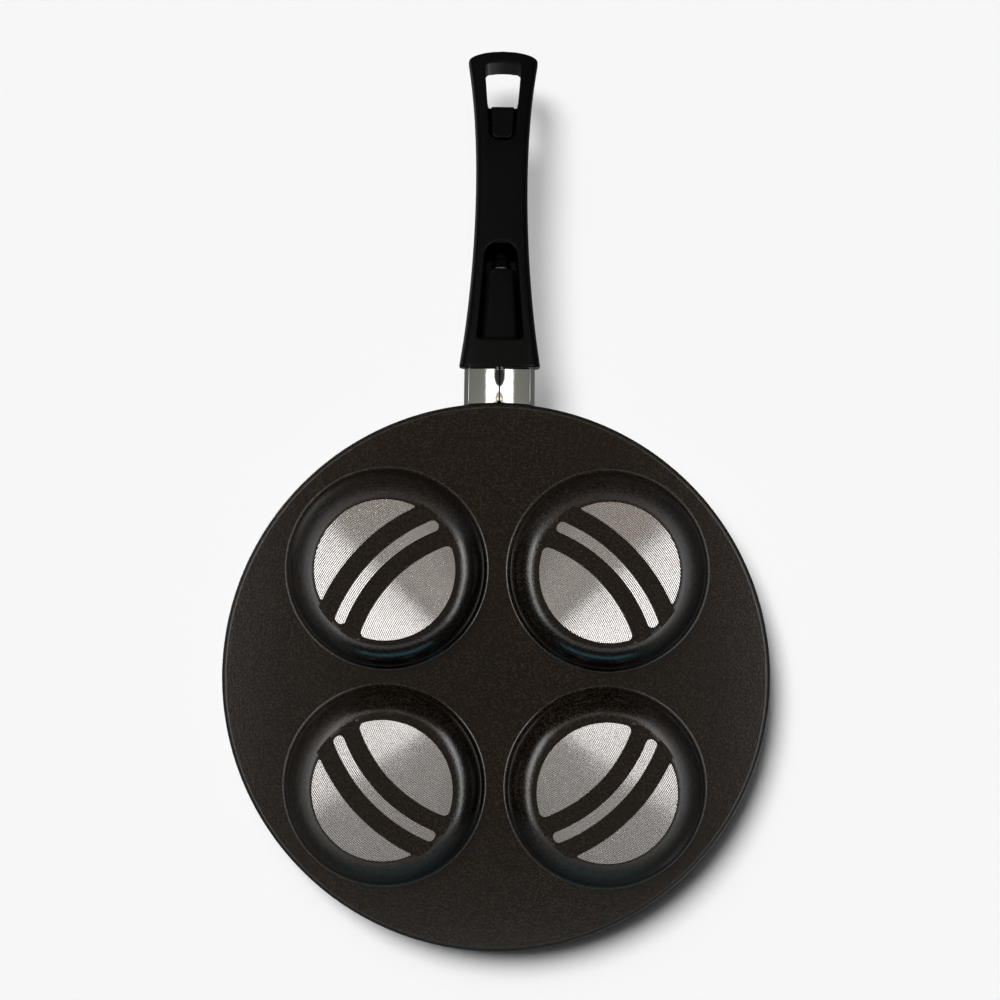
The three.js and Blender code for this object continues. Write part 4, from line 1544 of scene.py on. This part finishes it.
def build_lamps(studio):
    """The boxes and strips that the metal and the coating reflect, and the even light on matt surfaces."""
    middle = (0, pan_centre.y, 0)
    low = -studio.camera_depth
    for side in (-1, 1):
        # A box's near and far edge, and its levels towards the handle and away from it
        for near, far, upper, lower in (
            (0.34, 0.4, 0.7, 0.6),
            (0.4, 0.46, 1.05, 0.9),
            (0.46, 0.52, 1.2, 1),
            (0.52, 0.6, 1, 0.6),
            (0.6, 0.78, 0.35, 0.06),
        ):
            out = (near + far) / 2
            for reach, part in ((studio.wedge_upper * out, upper), (studio.wedge_lower * out, lower)):
                place = (side * out, pan_centre.y + studio.wedge_tip + reach / 2, low)
                area_light("side_box", place, (far - near, abs(reach)), studio.side_level * part)
        # A strip's place across and along the pan, its size, level and tint
        for name, out, along, size, part, tint in (
            ("wide_strip", 0.33, 0.35, (0.26, 0.12), 1.25, (1, 0.87, 0.73)),
            ("wide_strip_middle", 0.1, 0.35, (0.2, 0.12), 0.4, (1, 0.93, 0.85)),
            ("low_strip", 0.3, -0.46, (0.26, 0.18), 1, (0.94, 1, 1)),
            ("low_strip_middle", 0.085, -0.46, (0.17, 0.18), 0.7, (0.97, 1, 1)),
            ("ferrule_panel", 0.2, 0.44, (0.22, 0.07), 0.13, (0.96, 1, 0.9)),
        ):
            place = (side * out, pan_centre.y + along, low)
            area_light(name, place, size, studio.wide_level * part, tint)
    area_light("middle_strip", (0, pan_centre.y + 0.43, low), (0.175, 0.055), studio.middle_level)
    cool = (0.25, 0.75, 0.9)
    area_light("cool_strip", (0, pan_centre.y - 0.9, -0.35), (0.9, 0.2), 1.2, cool, middle)
    area_light("top_box", (-0.5, -0.6, 0.9), (0.7, 0.7), 1.6, target=middle)
    area_light("top_side", (0.9, 0.3, 0.6), (0.4, 0.8), 1.2, target=middle)
    sun_light("key_below", (-0.42, -0.62, 1), studio.key_level, 26)
    sun_light("fill_below", (-0.36, -0.66, 1), studio.fill_level, 50)
    sun_light("key_above", (0.35, 0.45, -0.82), 2.3, 30)
    sun_light("sky_above", (0, 0, -1), 1.1, 150)


def build_world(studio):
    """The air: paper to the camera, and a dim room from the floor to the ceiling in reflections."""
    world = bpy.data.worlds.new("studio_air")
    bpy.context.scene.world = world
    world.use_nodes = True
    shader = Shader(world.node_tree)
    path = shader.node("ShaderNodeLightPath").outputs
    direction = shader.node("ShaderNodeTexCoord").outputs["Generated"]
    up = shader.node("ShaderNodeSeparateXYZ", {0: direction}).outputs["Z"]
    room = shader.node("ShaderNodeValToRGB", {"Fac": shader.ramp(up, -1.0, 1.0, 0.0, 1.0)})
    stops = room.color_ramp.elements
    straight_down = (0.2, 0.155, 0.12, 1)
    stops[0].color = straight_down
    stops[1].color = (0.14, 0.14, 0.14, 1)
    stops.new(0.022).color = straight_down
    for position, level in ((0.05, 0.06), (0.15, 0.04), (0.35, 0.02), (0.47, 0.04), (0.6, 0.13)):
        stops.new(position).color = (level, level, level, 1)
    tone = shader.mix(path["Is Camera Ray"], room.outputs["Color"], studio.paper)
    shader.feed(world.node_tree.nodes["Background"].inputs["Color"], tone)
    world.cycles_visibility.diffuse = False


def build_camera(studio):
    """The camera under the pan, looking straight up with the handle towards the picture's top."""
    data = bpy.data.cameras.new("camera")
    data.lens = studio.lens
    camera = bpy.data.objects.new("camera", data)
    bpy.context.scene.collection.objects.link(camera)
    across = pan_centre.x + studio.camera_across
    along = pan_centre.y + studio.camera_along
    place = Matrix.Translation((across, along, pan_low.z - studio.camera_depth))
    camera.matrix_world = place @ Matrix.Rotation(math.pi, 4, "Y") @ Matrix.Rotation(studio.roll, 4, "Z")
    bpy.context.scene.camera = camera


def build_studio():
    """Floor, backdrop, lamps, world and camera."""
    studio = bpy.context.scene.pan_studio
    build_paper(studio)
    build_lamps(studio)
    build_world(studio)
    build_camera(studio)
    bpy.context.scene.view_settings.view_transform = "Standard"


# Operators, panel and registration


class PAN_OT_body(Operator):
    """Builds the pressed body with its four wells"""

    bl_idname = "pan.body"
    bl_label = "Pan body"

    def execute(self, context):
        build_pan_body()
        return {"FINISHED"}


class PAN_OT_handle(Operator):
    """Builds the moulded handle"""

    bl_idname = "pan.handle"
    bl_label = "Handle"

    def execute(self, context):
        build_handle()
        return {"FINISHED"}


class PAN_OT_ferrule(Operator):
    """Builds the rolled ferrule"""

    bl_idname = "pan.ferrule"
    bl_label = "Ferrule"

    def execute(self, context):
        build_ferrule()
        return {"FINISHED"}


class PAN_OT_fastening(Operator):
    """Builds the stud, the screw and its washers"""

    bl_idname = "pan.fastening"
    bl_label = "Fastening"

    def execute(self, context):
        build_fastening()
        return {"FINISHED"}


class PAN_OT_studio(Operator):
    """Builds the floor, the backdrop, the lamps and the camera"""

    bl_idname = "pan.studio"
    bl_label = "Studio"

    def execute(self, context):
        build_studio()
        return {"FINISHED"}


class PAN_PT_sidebar(Panel):
    """Lists the pan's pieces in the order in which they are built"""

    bl_idname = "PAN_PT_sidebar"
    bl_label = "Pancake pan"
    bl_space_type = "VIEW_3D"
    bl_region_type = "UI"
    bl_category = "Pan"

    def draw(self, context):
        for operator in OPERATORS:
            self.layout.operator(operator.bl_idname)


OPERATORS = (PAN_OT_studio, PAN_OT_body, PAN_OT_handle, PAN_OT_ferrule, PAN_OT_fastening)
GROUPS = {
    "pan_sizes": PanSizes,
    "pan_handle": HandleSizes,
    "pan_pockets": PocketSizes,
    "pan_ferrule": FerruleSizes,
    "pan_fastening": FasteningSizes,
    "pan_finishes": Finishes,
    "pan_studio": Studio,
}


def register():
    """Registers the classes and gives each scene its settings."""
    for cls in (*GROUPS.values(), *OPERATORS, PAN_PT_sidebar):
        bpy.utils.register_class(cls)
    for name, cls in GROUPS.items():
        setattr(bpy.types.Scene, name, PointerProperty(type=cls))


def unregister():
    """Takes the settings and the classes away again."""
    for name in GROUPS:
        delattr(bpy.types.Scene, name)
    for cls in (PAN_PT_sidebar, *reversed(OPERATORS), *GROUPS.values()):
        bpy.utils.unregister_class(cls)


def main():
    """Builds everything in order."""
    register()
    bpy.ops.pan.studio()
    bpy.ops.pan.body()
    bpy.ops.pan.handle()
    bpy.ops.pan.ferrule()
    bpy.ops.pan.fastening()


if __name__ == "__main__":
    main()
